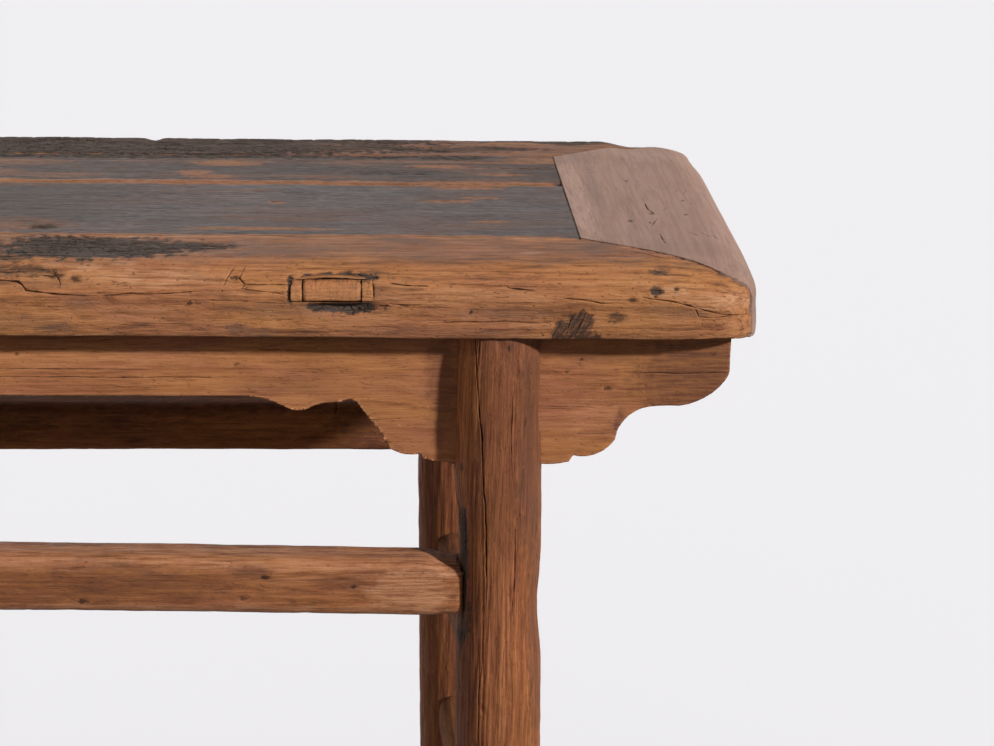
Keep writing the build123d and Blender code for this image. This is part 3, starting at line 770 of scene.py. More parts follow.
def somewhere(rng, node, grain, side, span):
    """A random place on a piece's side: its run along the grain, and its room across."""
    low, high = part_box(node)
    across = next(axis for axis in range(3) if axis != grain and abs(SIDES[side][0][axis]) < 0.5)
    along = rng.uniform(*(span or (low[grain], high[grain])))
    width = high[across] - low[across]
    place = rng.uniform(low[across] + 0.15 * width, high[across] - 0.15 * width)
    return across, along, place, width


def random_cracks(seed, node, grain, sides, count, span=None):
    """Drying cracks scattered along the grain over the given sides of a piece."""
    rng = Random(seed)
    steps = 6
    made = []
    for _ in range(count):
        side = rng.choice(sides)
        across, along, place, _ = somewhere(rng, node, grain, side, span)
        reach = rng.uniform(0.04, 0.18)
        line = []
        for index in range(steps + 1):
            run = along + reach * index / steps
            drift = place + rng.uniform(-0.7, 0.7) * MM
            line.append((run, drift) if grain < across else (drift, run))
        width = rng.uniform(0.4, 0.9)
        made.append(Crack(side, width, 1.6 * width, line))
    return made


def scattered(seed, node, grain, sides, count, span=None):
    """Soiled, rubbed and charred places scattered over the given sides of a piece."""
    rng = Random(seed)
    made = []
    for _ in range(count):
        side = rng.choice(sides)
        across, along, place, width = somewhere(rng, node, grain, side, span)
        long = rng.uniform(0.03, 0.12)
        wide = rng.uniform(0.12, 0.35) * width
        spot, reach = ((along, place), (long, wide)) if grain < across else ((place, along), (wide, long))
        layer = rng.choice(("soil", "soil", "rub", "rub", "char"))
        made.append(Patch(layer, side, spot, reach, rng.uniform(0.4, 0.9)))
    return made


# Materials

def tinted(colour, share):
    """A colour made paler or darker by a share."""
    return [min(1.0, share * part) for part in colour]


class Nodes:
    """A node tree, with short ways to add to it."""

    # A Mix node has sockets for every kind of data; these are the ones for colours
    MIX_SHARE, MIX_FIRST, MIX_SECOND, MIX_RESULT = 0, 6, 7, 2

    def __init__(self, tree):
        self.tree = tree
        tree.nodes.clear()

    def put(self, value, socket):
        """Links another socket to this one, or sets a constant on it."""
        if isinstance(value, bpy.types.NodeSocket):
            self.tree.links.new(value, socket)
        else:
            socket.default_value = value

    def add(self, kind, inputs=None, **settings):
        """A new node, with its settings, and values or links for its inputs."""
        made = self.tree.nodes.new(kind)
        for name, value in settings.items():
            setattr(made, name, value)
        for name, value in (inputs or {}).items():
            self.put(value, made.inputs[name])
        return made

    def maths(self, operation, first, second=0.0, clamp=False):
        """Result of a Math node."""
        made = self.add("ShaderNodeMath", {0: first, 1: second}, operation=operation, use_clamp=clamp)
        return made.outputs[0]

    def plus(self, first, second, clamp=False):
        """One value and another."""
        return self.maths("ADD", first, second, clamp)

    def minus(self, first, second):
        """One value less another."""
        return self.maths("SUBTRACT", first, second)

    def times(self, first, second, clamp=False):
        """One value times another."""
        return self.maths("MULTIPLY", first, second, clamp)

    def greater(self, first, second):
        """The greater of two values."""
        return self.maths("MAXIMUM", first, second)

    def swing(self, value, reach):
        """How far a noise swings from its middle, spread to a reach."""
        return self.times(self.minus(value, 0.5), reach)

    def remap(self, value, low, high, to_low=0.0, to_high=1.0):
        """A value's range low to high, spread softly over another and held there."""
        made = self.add("ShaderNodeMapRange", {"Value": value, "From Min": low, "From Max": high,
                                               "To Min": to_low, "To Max": to_high},
                        interpolation_type="SMOOTHSTEP")
        return made.outputs[0]

    def mixed(self, share, first, second, blend="MIX"):
        """Two colours mixed by a share."""
        made = self.add("ShaderNodeMix", data_type="RGBA", blend_type=blend)
        self.put(share, made.inputs[self.MIX_SHARE])
        for socket, colour in ((self.MIX_FIRST, first), (self.MIX_SECOND, second)):
            linked = isinstance(colour, bpy.types.NodeSocket)
            self.put(colour if linked else (*colour, 1), made.inputs[socket])
        return made.outputs[self.MIX_RESULT]

    def layer(self, name):
        """One of the layers of age that the mesh carries."""
        return self.add("ShaderNodeAttribute", attribute_name=name).outputs["Fac"]

    def clouds(self, place, scale, detail=3.0, roughness=0.55, distortion=0.0):
        """Value of a noise texture."""
        made = self.add("ShaderNodeTexNoise", {"Vector": place, "Scale": scale, "Detail": detail,
                                               "Roughness": roughness, "Distortion": distortion})
        return made.outputs["Fac"]

    def squeezed(self, place, axis, share, offset=(0, 0, 0)):
        """Coordinates squeezed along one axis, so that patterns run long there."""
        scale = [1.0, 1.0, 1.0]
        scale[axis] = share
        made = self.add("ShaderNodeMapping", {"Vector": place, "Scale": scale, "Location": offset})
        return made.outputs[0]

    def output(self, kind, shader):
        """Ends the tree in a shader."""
        self.tree.links.new(shader.outputs[0], self.add(kind).inputs[0])


class OldWood(Nodes):
    """Old bare wood: growth rings, fibres, stains, worn edges, cracks and open joints."""

    # Colours of the weathered skin, of places rubbed bare and of painted light, and of dirt and painted
    # shade.
    # The last two follow from the tones of the wood where they are None.
    grey = (0.11, 0.085, 0.073)
    rub = None
    dirt = None

    # How much is left of the weathered skin
    weathering = 0.0

    # Growth rings: their width in metres, their contrast, and the way from the heart of the log
    ring_pitch = 0.006
    rings = 0.3
    pith = (0, 0, 0)

    # Contrast of broad clouds, streaks, fibres and hair lines, and how squeezed the streaks are
    blotch = 0.5
    streak = 0.45
    mottle = 0.8
    line = 0.6
    dash = 0.06

    # Strength of golden and ruddy tints, stains, pits and nicks, and fine checks
    tinting = 1.0
    stain = 0.4
    speckle = 0.5
    checks = 1.0

    # Tone of the end grain
    ends = 0.9

    # Depth of the streaks against the rest of the relief, the relief's height in millimetres, and
    # the least and most roughness
    furrow = 0.35
    bumps = 1.0
    roughness = (0.55, 0.78)

    # Colours that every wood has in common
    CHAR_PALE = (0.090, 0.066, 0.053)
    CHAR_DEEP = (0.034, 0.023, 0.018)
    CHAR_GAPS = (0.012, 0.008, 0.006)
    BURNT_DEEP = (0.034, 0.018, 0.012)
    INSIDE_CRACKS = (0.014, 0.008, 0.005)

    # Width of one ring of a Wave texture whose scale is 1, in metres
    WAVE_PITCH = 0.314

    def __init__(self, name, grain, pale, mid, deep, **settings):
        self.material = bpy.data.materials.new(name)
        self.material.use_nodes = True
        super().__init__(self.material.node_tree)
        self.grain = grain
        self.pale = pale
        self.mid = mid
        self.deep = deep
        for setting, value in settings.items():
            if not hasattr(self, setting):
                raise TypeError(f"old wood has no setting {setting}")
            setattr(self, setting, value)
        self.fresh_and_lit = self.rub or tinted(pale, 1.3)
        self.dirt = self.dirt or [0.55 * skin + 0.36 * late for skin, late in zip(self.grey, deep)]

        self.place = self.add("ShaderNodeTexCoord").outputs["Object"]
        # The rubbed layer also carries painted light on shaded sides
        self.rubbed = self.layer("rub")
        self.knot = self.layer("knot")
        self.make_noises()
        self.grow_rings()
        self.colour_by_tone()
        self.show_end_grain()
        if self.weathering:
            self.weather()
        self.stain_low_places()
        self.pale_wear_and_light()
        self.soil()
        self.char()
        self.burn()
        self.darken_knots()
        self.check_and_pit()
        self.open_joints()
        self.shade()

    def paint(self, share, colour):
        """Lays a colour by its share over what is there."""
        self.colour = self.mixed(share, self.colour, colour)

    def drawn_out(self, squeeze, scale, detail=3.0, roughness=0.55, distortion=0.0, offset=(0, 0, 0)):
        """Value of a noise texture drawn out along the grain."""
        place = self.squeezed(self.place, self.grain, squeeze, offset)
        return self.clouds(place, scale, detail, roughness, distortion)

    def make_noises(self):
        """The noises that most steps share, from broad clouds to hair lines."""
        self.broad = self.drawn_out(0.28, 42, 5, 0.6, 0.4)
        self.streaks = self.drawn_out(self.dash, 520, 5, 0.6, 0.15)
        self.fibres = self.drawn_out(0.17, 240, 6, 0.68, 0.6, (0.1, 0.5, 0.3))
        self.lines = self.drawn_out(0.018, 1350, 3, 0.65)
        self.specks = self.drawn_out(0.4, 900, 3, 0.6)
        self.tint = self.drawn_out(0.3, 27, 4, 0.6, offset=(0.5, 0.2, 0.8))

    def grow_rings(self):
        """Growth rings round the heart of the log, bent round the knots."""
        place = self.squeezed(self.place, self.grain, 0.07, self.pith)
        bent = self.add("ShaderNodeVectorMath", {0: place, 1: self.times(self.knot, 0.010)}, operation="ADD")
        rings = self.add("ShaderNodeTexWave",
                         {"Vector": bent.outputs[0], "Scale": self.WAVE_PITCH / self.ring_pitch,
                          "Distortion": 9.0, "Detail": 3.0, "Detail Scale": 1.3, "Detail Roughness": 0.6},
                         wave_type="RINGS", rings_direction="XYZ"[self.grain], wave_profile="SAW")
        self.late_wood = self.remap(rings.outputs["Fac"], 0.55, 0.97)

    def colour_by_tone(self):
        """Tone from pale early wood to deep late wood, and the wood's own colour."""
        tone = 0.40
        for value, contrast in ((self.broad, self.blotch), (self.streaks, self.streak),
                                (self.fibres, self.mottle), (self.lines, self.line), (self.specks, 0.25)):
            tone = self.plus(self.swing(value, contrast), tone)
        tone = self.plus(tone, self.times(self.late_wood, self.rings))
        self.tone = self.plus(tone, self.remap(self.layer("groove"), 0.1, 0.8, -0.05, 0.16))
        ramp = self.add("ShaderNodeValToRGB", {"Fac": self.plus(self.tone, 0.0, clamp=True)})
        first, last = ramp.color_ramp.elements
        first.position, first.color = 0.05, (*self.pale, 1)
        last.position, last.color = 1.0, (*self.deep, 1)
        ramp.color_ramp.elements.new(0.45).color = (*self.mid, 1)
        colour = ramp.outputs["Color"]
        golden = self.mixed(0.8 * self.tinting, colour, (1.10, 1.08, 0.78), "MULTIPLY")
        ruddy = self.mixed(0.8 * self.tinting, colour, (0.90, 0.80, 0.86), "MULTIPLY")
        self.colour = self.mixed(self.remap(self.tint, 0.34, 0.66), golden, ruddy)

    def show_end_grain(self):
        """End grain is plainer, with the rings as level lines."""
        normal = self.add("ShaderNodeNewGeometry").outputs["Normal"]
        facing = self.add("ShaderNodeSeparateXYZ", {0: normal}).outputs[self.grain]
        self.end_grain = self.remap(self.maths("ABSOLUTE", facing), 0.72, 0.95)
        level = ALONG_Y if self.grain == ALONG_X else ALONG_X
        lines = self.clouds(self.squeezed(self.place, level, 0.08), 800, 3, 0.6)
        plain = self.mixed(self.remap(lines, 0.35, 0.65), tinted(self.mid, self.ends),
                           tinted(self.mid, 0.6 * self.ends))
        self.paint(self.times(self.end_grain, 0.8), plain)

    def weather(self):
        """A weathered grey skin, rubbed through in streaks."""
        skin = self.drawn_out(0.10, 75, 8, 0.66, 0.4, (0.3, 0.1, 0.2))
        cover = self.plus(self.times(self.minus(0.5, skin), 2.4), self.weathering)
        cover = self.minus(cover, self.times(self.rubbed, 1.5))
        cloudy = self.drawn_out(0.35, 85, 7, 0.68, 0.8, (0.6, 0.2, 0.4))
        shade = self.plus(self.times(self.tone, 0.45), self.swing(cloudy, 1.5))
        grey = self.mixed(self.remap(shade, -0.20, 0.60), tinted(self.grey, 1.35), tinted(self.grey, 0.58))
        brown = self.mixed(0.5, self.grey, tinted(self.mid, 0.55))
        grey = self.mixed(self.remap(self.tint, 0.42, 0.66, 0.0, 0.8), grey, brown)
        self.paint(self.remap(cover, -0.1, 0.75), grey)

    def stain_low_places(self):
        """Old dirt in the low places between the fibres."""
        smudge = self.plus(self.fibres, self.times(self.broad, 0.8))
        self.paint(self.remap(smudge, 0.90, 1.15, 0.0, self.stain), self.dirt)

    def pale_wear_and_light(self):
        """Rubbed places and worn free edges are paler, and so are the places with painted light."""
        edge = self.plus(self.layer("arris"), self.times(self.streaks, 5.0))
        share = self.times(self.rubbed, self.remap(self.streaks, 0.36, 0.62, 0.95, 0.25))
        share = self.greater(share, self.remap(edge, 2.6, 6.0, 0.45, 0.0))
        bare = self.minus(self.tone, self.times(self.rubbed, 0.32))
        self.paint(share, self.mixed(self.remap(bare, 0.1, 0.9), self.fresh_and_lit, self.mid))

    def soil(self):
        """Soiled places and painted shade, thinner over the streaks."""
        self.paint(self.times(self.layer("soil"), self.remap(self.streaks, 0.34, 0.62, 1.0, 0.5)), self.dirt)

    def char(self):
        """Charred places, and painted shadow in the hollows by the tenon, with ragged rims, cracked into
        small blocks.
        """
        ragged = self.plus(self.layer("char"), self.swing(self.streaks, 1.1))
        ragged = self.plus(ragged, self.swing(self.broad, 0.9))
        self.charred = self.times(self.remap(ragged, 0.12, 0.75), 0.96)
        blocks = self.add("ShaderNodeTexVoronoi",
                          {"Vector": self.squeezed(self.place, self.grain, 0.4), "Scale": 230,
                           "Randomness": 1.0}, feature="DISTANCE_TO_EDGE").outputs["Distance"]
        self.gaps = self.times(self.remap(blocks, 0.01, 0.09, 1.0, 0.0), self.remap(self.broad, 0.4, 0.55))
        tone = self.mixed(self.remap(self.streaks, 0.34, 0.66), self.CHAR_PALE, self.CHAR_DEEP)
        self.paint(self.charred, self.mixed(self.times(self.gaps, 0.8), tone, self.CHAR_GAPS))

    def burn(self):
        """Burns with slanting strokes."""
        turned = self.add("ShaderNodeMapping", {"Vector": self.place, "Rotation": (0, radians(-62), 0),
                                                "Scale": (8, 1, 1)}, vector_type="TEXTURE")
        strokes = self.remap(self.clouds(turned.outputs[0], 560, 4, 0.65), 0.46, 0.66)
        tone = self.mixed(strokes, self.BURNT_DEEP, tinted(self.mid, 0.52))
        share = self.plus(self.layer("burn"), self.swing(self.fibres, 1.2))
        self.paint(self.remap(share, 0.12, 0.60, 0.0, 0.95), tone)

    def darken_knots(self):
        """Knots have dark speckled hearts."""
        heart = self.plus(self.knot, self.times(self.specks, 0.3))
        self.paint(self.remap(heart, 0.35, 0.95, 0.0, 0.9), tinted(self.deep, 0.30))

    def check_and_pit(self):
        """Fine checks along the grain, dark pits, and pale nicks clear of the charred places."""
        check = self.drawn_out(0.035, 330, 2, 0.5, 0.2, (0.7, 0.4, 0.9))
        check = self.remap(self.maths("ABSOLUTE", self.minus(check, 0.5)), 0.0, 0.010, 1.0, 0.0)
        where = self.remap(self.drawn_out(0.3, 55, offset=(0.2, 0.6, 0.1)), 0.42, 0.60)
        check = self.times(check, self.times(where, self.checks))
        pits = self.drawn_out(0.5, 520, 2, 0.5, offset=(0.9, 0.3, 0.4))
        pitted = self.times(self.remap(pits, 0.62, 0.74), self.speckle)
        self.flaws = self.times(self.greater(check, pitted), self.minus(1.0, self.end_grain))
        self.paint(self.times(self.flaws, 0.7), tinted(self.deep, 0.4))
        nicks = self.times(self.remap(pits, 0.32, 0.20), 0.5 * self.speckle)
        self.paint(self.times(nicks, self.minus(1.0, self.charred)), tinted(self.fresh_and_lit, 1.2))

    def open_joints(self):
        """Painted shade beside the joints, then the dark inside of open joints and cracks."""
        seam = self.layer("seam")
        joint = self.layer("joint")
        # Painted shade: the wood darkens within 14 mm of each joint, where shade falls between parts
        shade_by_joints = self.times(self.remap(seam, 0.0, 14.0, 0.55, 0.0), self.remap(self.broad, 0.3, 0.7))
        self.paint(self.times(shade_by_joints, joint, clamp=True), self.mixed(0.5, self.grey, tinted(self.deep, 0.6)))
        width = self.times(self.remap(self.clouds(self.place, 110, 4), 0.35, 0.65, 0.25, 1.0), 0.5)
        open_seam = self.remap(self.maths("DIVIDE", seam, width), 0.5, 1.5, 1.0, 0.0)
        open_seam = self.times(open_seam, self.remap(joint, 0.0, 0.5))
        self.open_crack = self.remap(self.layer("split"), -0.20, 0.35, 1.0, 0.0)
        self.dark = self.greater(self.open_crack, self.times(open_seam, 0.85))
        self.paint(self.dark, self.INSIDE_CRACKS)

    def shade(self):
        """Fine relief and roughness, and the shader they go to."""
        height = self.times(self.streaks, -self.furrow)
        for value, rise in ((self.late_wood, -0.12), (self.lines, 0.6 * self.furrow), (self.specks, 0.25),
                            (self.fibres, -0.9 * self.mottle), (self.flaws, -0.4), (self.open_crack, -0.6),
                            (self.times(self.gaps, self.charred), -0.9)):
            height = self.plus(height, self.times(value, rise))
        bump = self.add("ShaderNodeBump", {"Height": height, "Strength": 0.8, "Distance": self.bumps * MM})
        rough = self.remap(self.streaks, 0.3, 0.7, *self.roughness)
        rough = self.plus(rough, self.times(self.greater(self.charred, self.dark), 0.2), clamp=True)
        shader = self.add("ShaderNodeBsdfPrincipled",
                          {"Base Color": self.colour, "Roughness": rough, "Normal": bump.outputs[0],
                           "Specular IOR Level": 0.2})
        self.output("ShaderNodeOutputMaterial", shader)


# Settings that a user can change

def colour_property(label, description, value):
    """A colour that a user can change."""
    return FloatVectorProperty(name=label, description=description, subtype="COLOR", size=3, min=0, max=1,
                               default=value)


def strength_property(label, description, value):
    """A strength or depth that a user can change."""
    return FloatProperty(name=label, description=description, min=0, default=value)


class AltarTableFinish(bpy.types.PropertyGroup):
    """Colours of the woods."""

    rail_pale: colour_property("Rail Pale", "Early wood of the long rails", (0.430, 0.200, 0.095))
    rail_mid: colour_property("Rail Middle", "General tone of the long rails", (0.370, 0.152, 0.062))
    rail_deep: colour_property("Rail Deep", "Late wood of the long rails", (0.14, 0.050, 0.021))
    end_pale: colour_property("End Rail Pale", "Early wood of the end rails", (0.36, 0.232, 0.180))
    end_mid: colour_property("End Rail Middle", "General tone of the end rails", (0.30, 0.182, 0.138))
    end_deep: colour_property("End Rail Deep", "Late wood of the end rails", (0.21, 0.115, 0.085))
    panel_pale: colour_property("Panel Pale", "Early wood of the panel", (0.30, 0.140, 0.070))
    panel_mid: colour_property("Panel Middle", "General tone of the panel", (0.21, 0.090, 0.045))
    panel_deep: colour_property("Panel Deep", "Late wood of the panel", (0.10, 0.040, 0.022))
    panel_grey: colour_property("Panel Grey", "Weathered skin of the front board", (0.088, 0.072, 0.070))
    back_grey: colour_property("Back Board Grey", "Weathered skin of the back board", (0.053, 0.040, 0.036))
    leg_pale: colour_property("Leg Pale", "Early wood of the legs", (0.36, 0.136, 0.053))
    leg_mid: colour_property("Leg Middle", "General tone of the legs", (0.215, 0.072, 0.029))
    leg_deep: colour_property("Leg Deep", "Late wood of the legs", (0.085, 0.026, 0.011))
    apron_pale: colour_property("Apron Pale", "Early wood of the aprons", (0.43, 0.187, 0.085))
    apron_mid: colour_property("Apron Middle", "General tone of the aprons", (0.345, 0.140, 0.062))
    apron_deep: colour_property("Apron Deep", "Late wood of the aprons", (0.20, 0.066, 0.026))
    stretcher_pale: colour_property("Stretcher Pale", "Early wood of the stretchers", (0.36, 0.142, 0.055))
    stretcher_mid: colour_property("Stretcher Middle", "Tone of the stretchers", (0.255, 0.092, 0.034))
    stretcher_deep: colour_property("Stretcher Deep", "Late wood of the stretchers", (0.105, 0.033, 0.013))
    batten_mid: colour_property("Batten Middle", "Tone of the battens and wedges", (0.40, 0.165, 0.062))


class AltarTableWear(bpy.types.PropertyGroup):
    """How far age has taken the surfaces in."""

    top_waves: strength_property("Top Waves", "Depth of the worn hollows in the top, in millimetres", 0.9)
    leg_furrows: strength_property("Leg Furrows", "Depth of the grooves in the legs, in millimetres", 0.75)


class AltarTableStage(bpy.types.PropertyGroup):
    """Camera, light and floor."""

    lens: FloatProperty(name="Lens", description="Focal length", default=92.51, subtype="DISTANCE_CAMERA")
    key: strength_property("Key Light", "Strength of the key light", 4.5)
    front: strength_property("Front Light", "Strength of the soft light from the front left", 0.62)
    back: strength_property("Back Light", "Strength of the soft light from behind", 1.1)
    around: strength_property("Room Light", "Strength of the light from all round", 0.08)
    floor: colour_property("Floor", "Tone of the floor", (0.955, 0.950, 0.975))


def finish():
    """The colours of the woods, as the user has set them."""
    return bpy.context.scene.altar_table_finish


def wear():
    """The depths of wear, as the user has set them."""
    return bpy.context.scene.altar_table_wear


# Shape of the worn top

def top_relief(grain, groove=0.3, chip=0.5):
    """Wear of the top's pieces: hollows that run on over their joints, grooves and chips."""
    def relief(point, normal):
        cut = grooves(point, grain, 0.0050)
        hollow = waves(point, 0.05, wear().top_waves * MM) + 0.5 * wear().top_waves * MM
        hollow *= 1 - 0.8 * smoothstep(0.4, 0.8, abs(normal.x))
        return hollow + groove * MM * cut + chips(point, 0.012, chip * MM, grain), cut
    return relief


def right_part(point, fade=0.06):
    """Nought over the plain part of the table, one over the right part, and a soft rise between."""
    start = 0.20
    return smoothstep(start, start + fade, point.x)


def on_front_arris(point):
    """One at the foremost edge of the top, and nought behind it."""
    return smoothstep(-0.180, -0.188, point.y)


def corner_plan(point):
    """Shift of the right corners: in front the mitre runs out to the tip, at the back it is tight."""
    side = 1 if point.y > 0 else -1
    flat = Vector((point.x - CORNER_CENTRE.x, side * point.y - CORNER_CENTRE.y))
    if flat.x <= 0 or flat.y <= 0:
        return Vector()
    angle = atan2(flat.y, flat.x)
    bump = smoothstep(0.012, 0.036, flat.length) * sin(2 * angle) ** 2
    if side > 0:
        shift = 7.3 * MM * bump * bump * Vector((1, 1))
    else:
        turned = angle - radians(20) * bump
        shift = flat.length * Vector((cos(turned), sin(turned))) - flat
    return Vector((shift.x, side * shift.y, 0))


def corner_wear(point):
    """How far the front right corner of the top is worn down."""
    away = (Vector((point.x, point.y)) - Vector((HALF_LENGTH, -HALF_DEPTH))).length
    tip = 1 - 0.35 * smoothstep(0.915, 0.945, point.x)
    return 7.5 * MM * (1 - smoothstep(0.0, 0.105, away)) ** 1.3 * tip


def low_lip(point):
    """How far the lower arris of the top hangs down along the front and at the tip."""
    outside = max(on_front_arris(point), smoothstep(0.930, 0.938, point.x))
    run = 1.6 + 1.4 * smoothstep(0.60, 0.72, point.x) + 5.0 * smoothstep(0.915, 0.940, point.x)
    front = smoothstep(-0.05, -0.12, point.y) * right_part(point)
    return run * outside * front * (1 - smoothstep(0.808, 0.832, point.z)) * MM


def worn_corners(point):
    """Shift of the worn right corners, for the pieces that meet there."""
    above = smoothstep(0.806, 0.835, point.z)
    back = 5 * MM * smoothstep(0.10, 0.17, point.y) * smoothstep(0.865, 0.895, point.x)
    lip = low_lip(point)
    forward = 2.5 * MM * on_front_arris(point) * (1 - smoothstep(0.809, 0.826, point.z))
    forward *= right_part(point) * (1 - smoothstep(0.90, 0.92, point.x))
    tip = Vector((0.6 * lip * smoothstep(0.90, 0.93, point.x), -forward, 0))
    return corner_plan(point) + tip - Vector((0, 0, (corner_wear(point) + back) * above + lip))


def under_mitre(point):
    """Shift that tucks a long rail's end under the end rail, so that no gap shows along the mitre."""
    beyond = MITRE_ACROSS.dot(Vector((abs(point.x), -abs(point.y))) - PANEL_CORNER)
    near = smoothstep(-0.0045, -0.0005, beyond)
    push = 3 * MM * near * MITRE_ACROSS
    sink = (0.4 * near + 1.2 * smoothstep(-0.0022, -0.0006, beyond)) * MM
    right = 1 if point.x > 0 else -1
    front = 1 if point.y < 0 else -1
    return Vector((right * push.x, front * push.y, -sink * smoothstep(0.815, 0.835, point.z)))


def front_edge(point):
    """Shift of the front rail."""
    return worn_corners(point) + under_mitre(point)


def back_edge(point):
    """Shift of the ragged back edge of the top."""
    near = smoothstep(0.150, 0.195, point.y)
    ragged = 0.5 + 0.5 * noise.noise(Vector((point.x * 22, 4, 0)))
    ragged += 0.3 * noise.noise(Vector((point.x * 90, 9, 0)))
    notch = hump(point.x, 0.480, 0.006)
    edge = Vector((0, -near * (1.5 * ragged + 5.5 * notch) * MM, -near * (0.3 * ragged + 2.5 * notch) * MM))
    return edge + worn_corners(point) + under_mitre(point)


def hollow_by_tenon(point):
    """Weathered hollows above and below the right outer batten's tenon, in the front rail's face."""
    over = hump(point.x, 0.632, 0.024) * hump(point.z, 0.8515, 0.0030)
    under = hump(point.x, 0.640, 0.026) * hump(point.z, 0.8285, 0.0040)
    return (2.0 * over + 4.0 * under) * MM * smoothstep(0.17, 0.19, -point.y)


def front_rail_relief(point, normal):
    """Wear of the front rail, with the hollows by the tenon."""
    depth, cut = top_relief(ALONG_X)(point, normal)
    return depth + hollow_by_tenon(point), cut


def seen_top(point, normal):
    """The stretch of the top that shows closest."""
    return point.x > FINE_TOP_FROM and (normal.z > 0.3 or normal.y < -0.4)


# Age of the worn top

def pale_joint(point, normal, values):
    """Wood rubbed bare along the long joints of the panel, fading before its ends."""
    if point.z > 0.855 and -0.14 < point.y < 0.08:
        bare = 1 - smoothstep(2.5, 5.0, values["seam"] + 3.0 * noise.noise(60 * point))
        bare *= smoothstep(0.004, 0.016, PANEL_CORNER.x - abs(point.x) + 0.006 * noise.noise(90 * point))
        values["rub"] = max(values["rub"], 0.8 * bare)


def front_age(point, normal, values):
    """The flat of the front rail is browner than its rounded face."""
    pale_joint(point, normal, values)
    flat = smoothstep(-0.186, -0.172, point.y + 0.006 * noise.noise(40 * point))
    flat *= smoothstep(0.80, 0.95, normal.z)
    uneven = noise.noise(stretched(point, ALONG_X, 0.3) * 70)
    uneven += 0.6 * noise.noise(stretched(point, ALONG_X, 0.25) * 230)
    bare = 0.9 * noise.noise(stretched(point, ALONG_X, 0.4) * 95) - 0.15
    values["soil"] = max(values["soil"], (0.55 + 0.9 * uneven) * flat)
    values["rub"] = max(values["rub"], bare * flat)


def back_age(point, normal, values):
    """The back rail is weathered brown and grey on top, most along its outer edge."""
    top = smoothstep(0.30, 0.60, normal.z)
    right = right_part(point, 0.10)
    values["soil"] = max(values["soil"], 0.9 * top * right * (1 - values["rub"]))
    edge = smoothstep(0.158, 0.176, point.y + 0.016 * noise.noise(16 * point))
    edge *= right * (1 - smoothstep(0.86, 0.89, point.x))
    values["char"] = max(values["char"], 0.8 * top * edge)


class ALTAR_TABLE_OT_long_rails(bpy.types.Operator):
    """Make the front and back rails of the top"""

    bl_idname = "altar_table.long_rails"
    bl_label = "Long Rails"

    def execute(self, context):
        look = finish()
        wood = OldWood("rail_wood", ALONG_X, look.rail_pale, look.rail_mid, look.rail_deep,
                       ring_pitch=0.007, rings=0.25, pith=(0, 0.26, -0.80), mottle=1.3, tinting=0.75,
                       stain=0.42, speckle=0.8, bumps=1.5, rub=(0.52, 0.270, 0.145),
                       dirt=(0.112, 0.060, 0.042))
        common = dict(slot="rail_wood", grain=ALONG_X, fine=seen_top, arris_wear=0.5)
        name, sides = "top_rail_front", ["front", "top"]
        make(Piece(name, voxel=3.6, relief=front_rail_relief, bow=front_edge, age=front_age,
                   cracks=RAIL_FRONT_CRACKS + random_cracks(3, name, ALONG_X, sides, 7, PLAIN_RAIL),
                   knots=RAIL_FRONT_KNOTS,
                   patches=RAIL_FRONT_PATCHES + scattered(61, name, ALONG_X, sides, 16, PLAIN_RAIL),
                   **common), wood.material)
        name, sides = "top_rail_back", ["back", "top"]
        make(Piece(name, voxel=3.4, relief=top_relief(ALONG_X), bow=back_edge, age=back_age,
                   cracks=random_cracks(4, name, ALONG_X, sides, 9, (-0.93, 0.80)),
                   patches=RAIL_BACK_PATCHES + scattered(62, name, ALONG_X, sides, 18, PLAIN_RAIL)
                   + scattered(63, name, ALONG_X, ["back"], 6, (0.24, 0.93)),
                   **common), wood.material)
        return {"FINISHED"}


class ALTAR_TABLE_OT_end_rails(bpy.types.Operator):
    """Make the end rails of the top"""

    bl_idname = "altar_table.end_rails"
    bl_label = "End Rails"

    def execute(self, context):
        look = finish()
        wood = OldWood("end_rail_wood", ALONG_Y, look.end_pale, look.end_mid, look.end_deep,
                       ring_pitch=0.010, rings=0.0, pith=(-0.90, 0, -0.78), blotch=0.34, streak=0.07,
                       mottle=0.18, line=0.08, tinting=0.2, stain=0.12, speckle=0.25, checks=0.35,
                       furrow=0.16, roughness=(0.60, 0.74))
        common = dict(slot="end_rail_wood", grain=ALONG_Y, voxel=2.4, relief=top_relief(ALONG_Y, 0.07, 0.25),
                      arris_wear=0.5)
        make(Piece("top_end_rail_right", fine=seen_top, bow=worn_corners, cracks=END_RAIL_CRACKS,
                   knots=END_RAIL_KNOTS, patches=END_RAIL_PATCHES, **common), wood.material)
        name, sides = "top_end_rail_left", ["top", "left"]
        make(Piece(name, cracks=random_cracks(5, name, ALONG_Y, sides, 5),
                   patches=scattered(64, name, ALONG_Y, sides, 8), **common), wood.material)
        return {"FINISHED"}


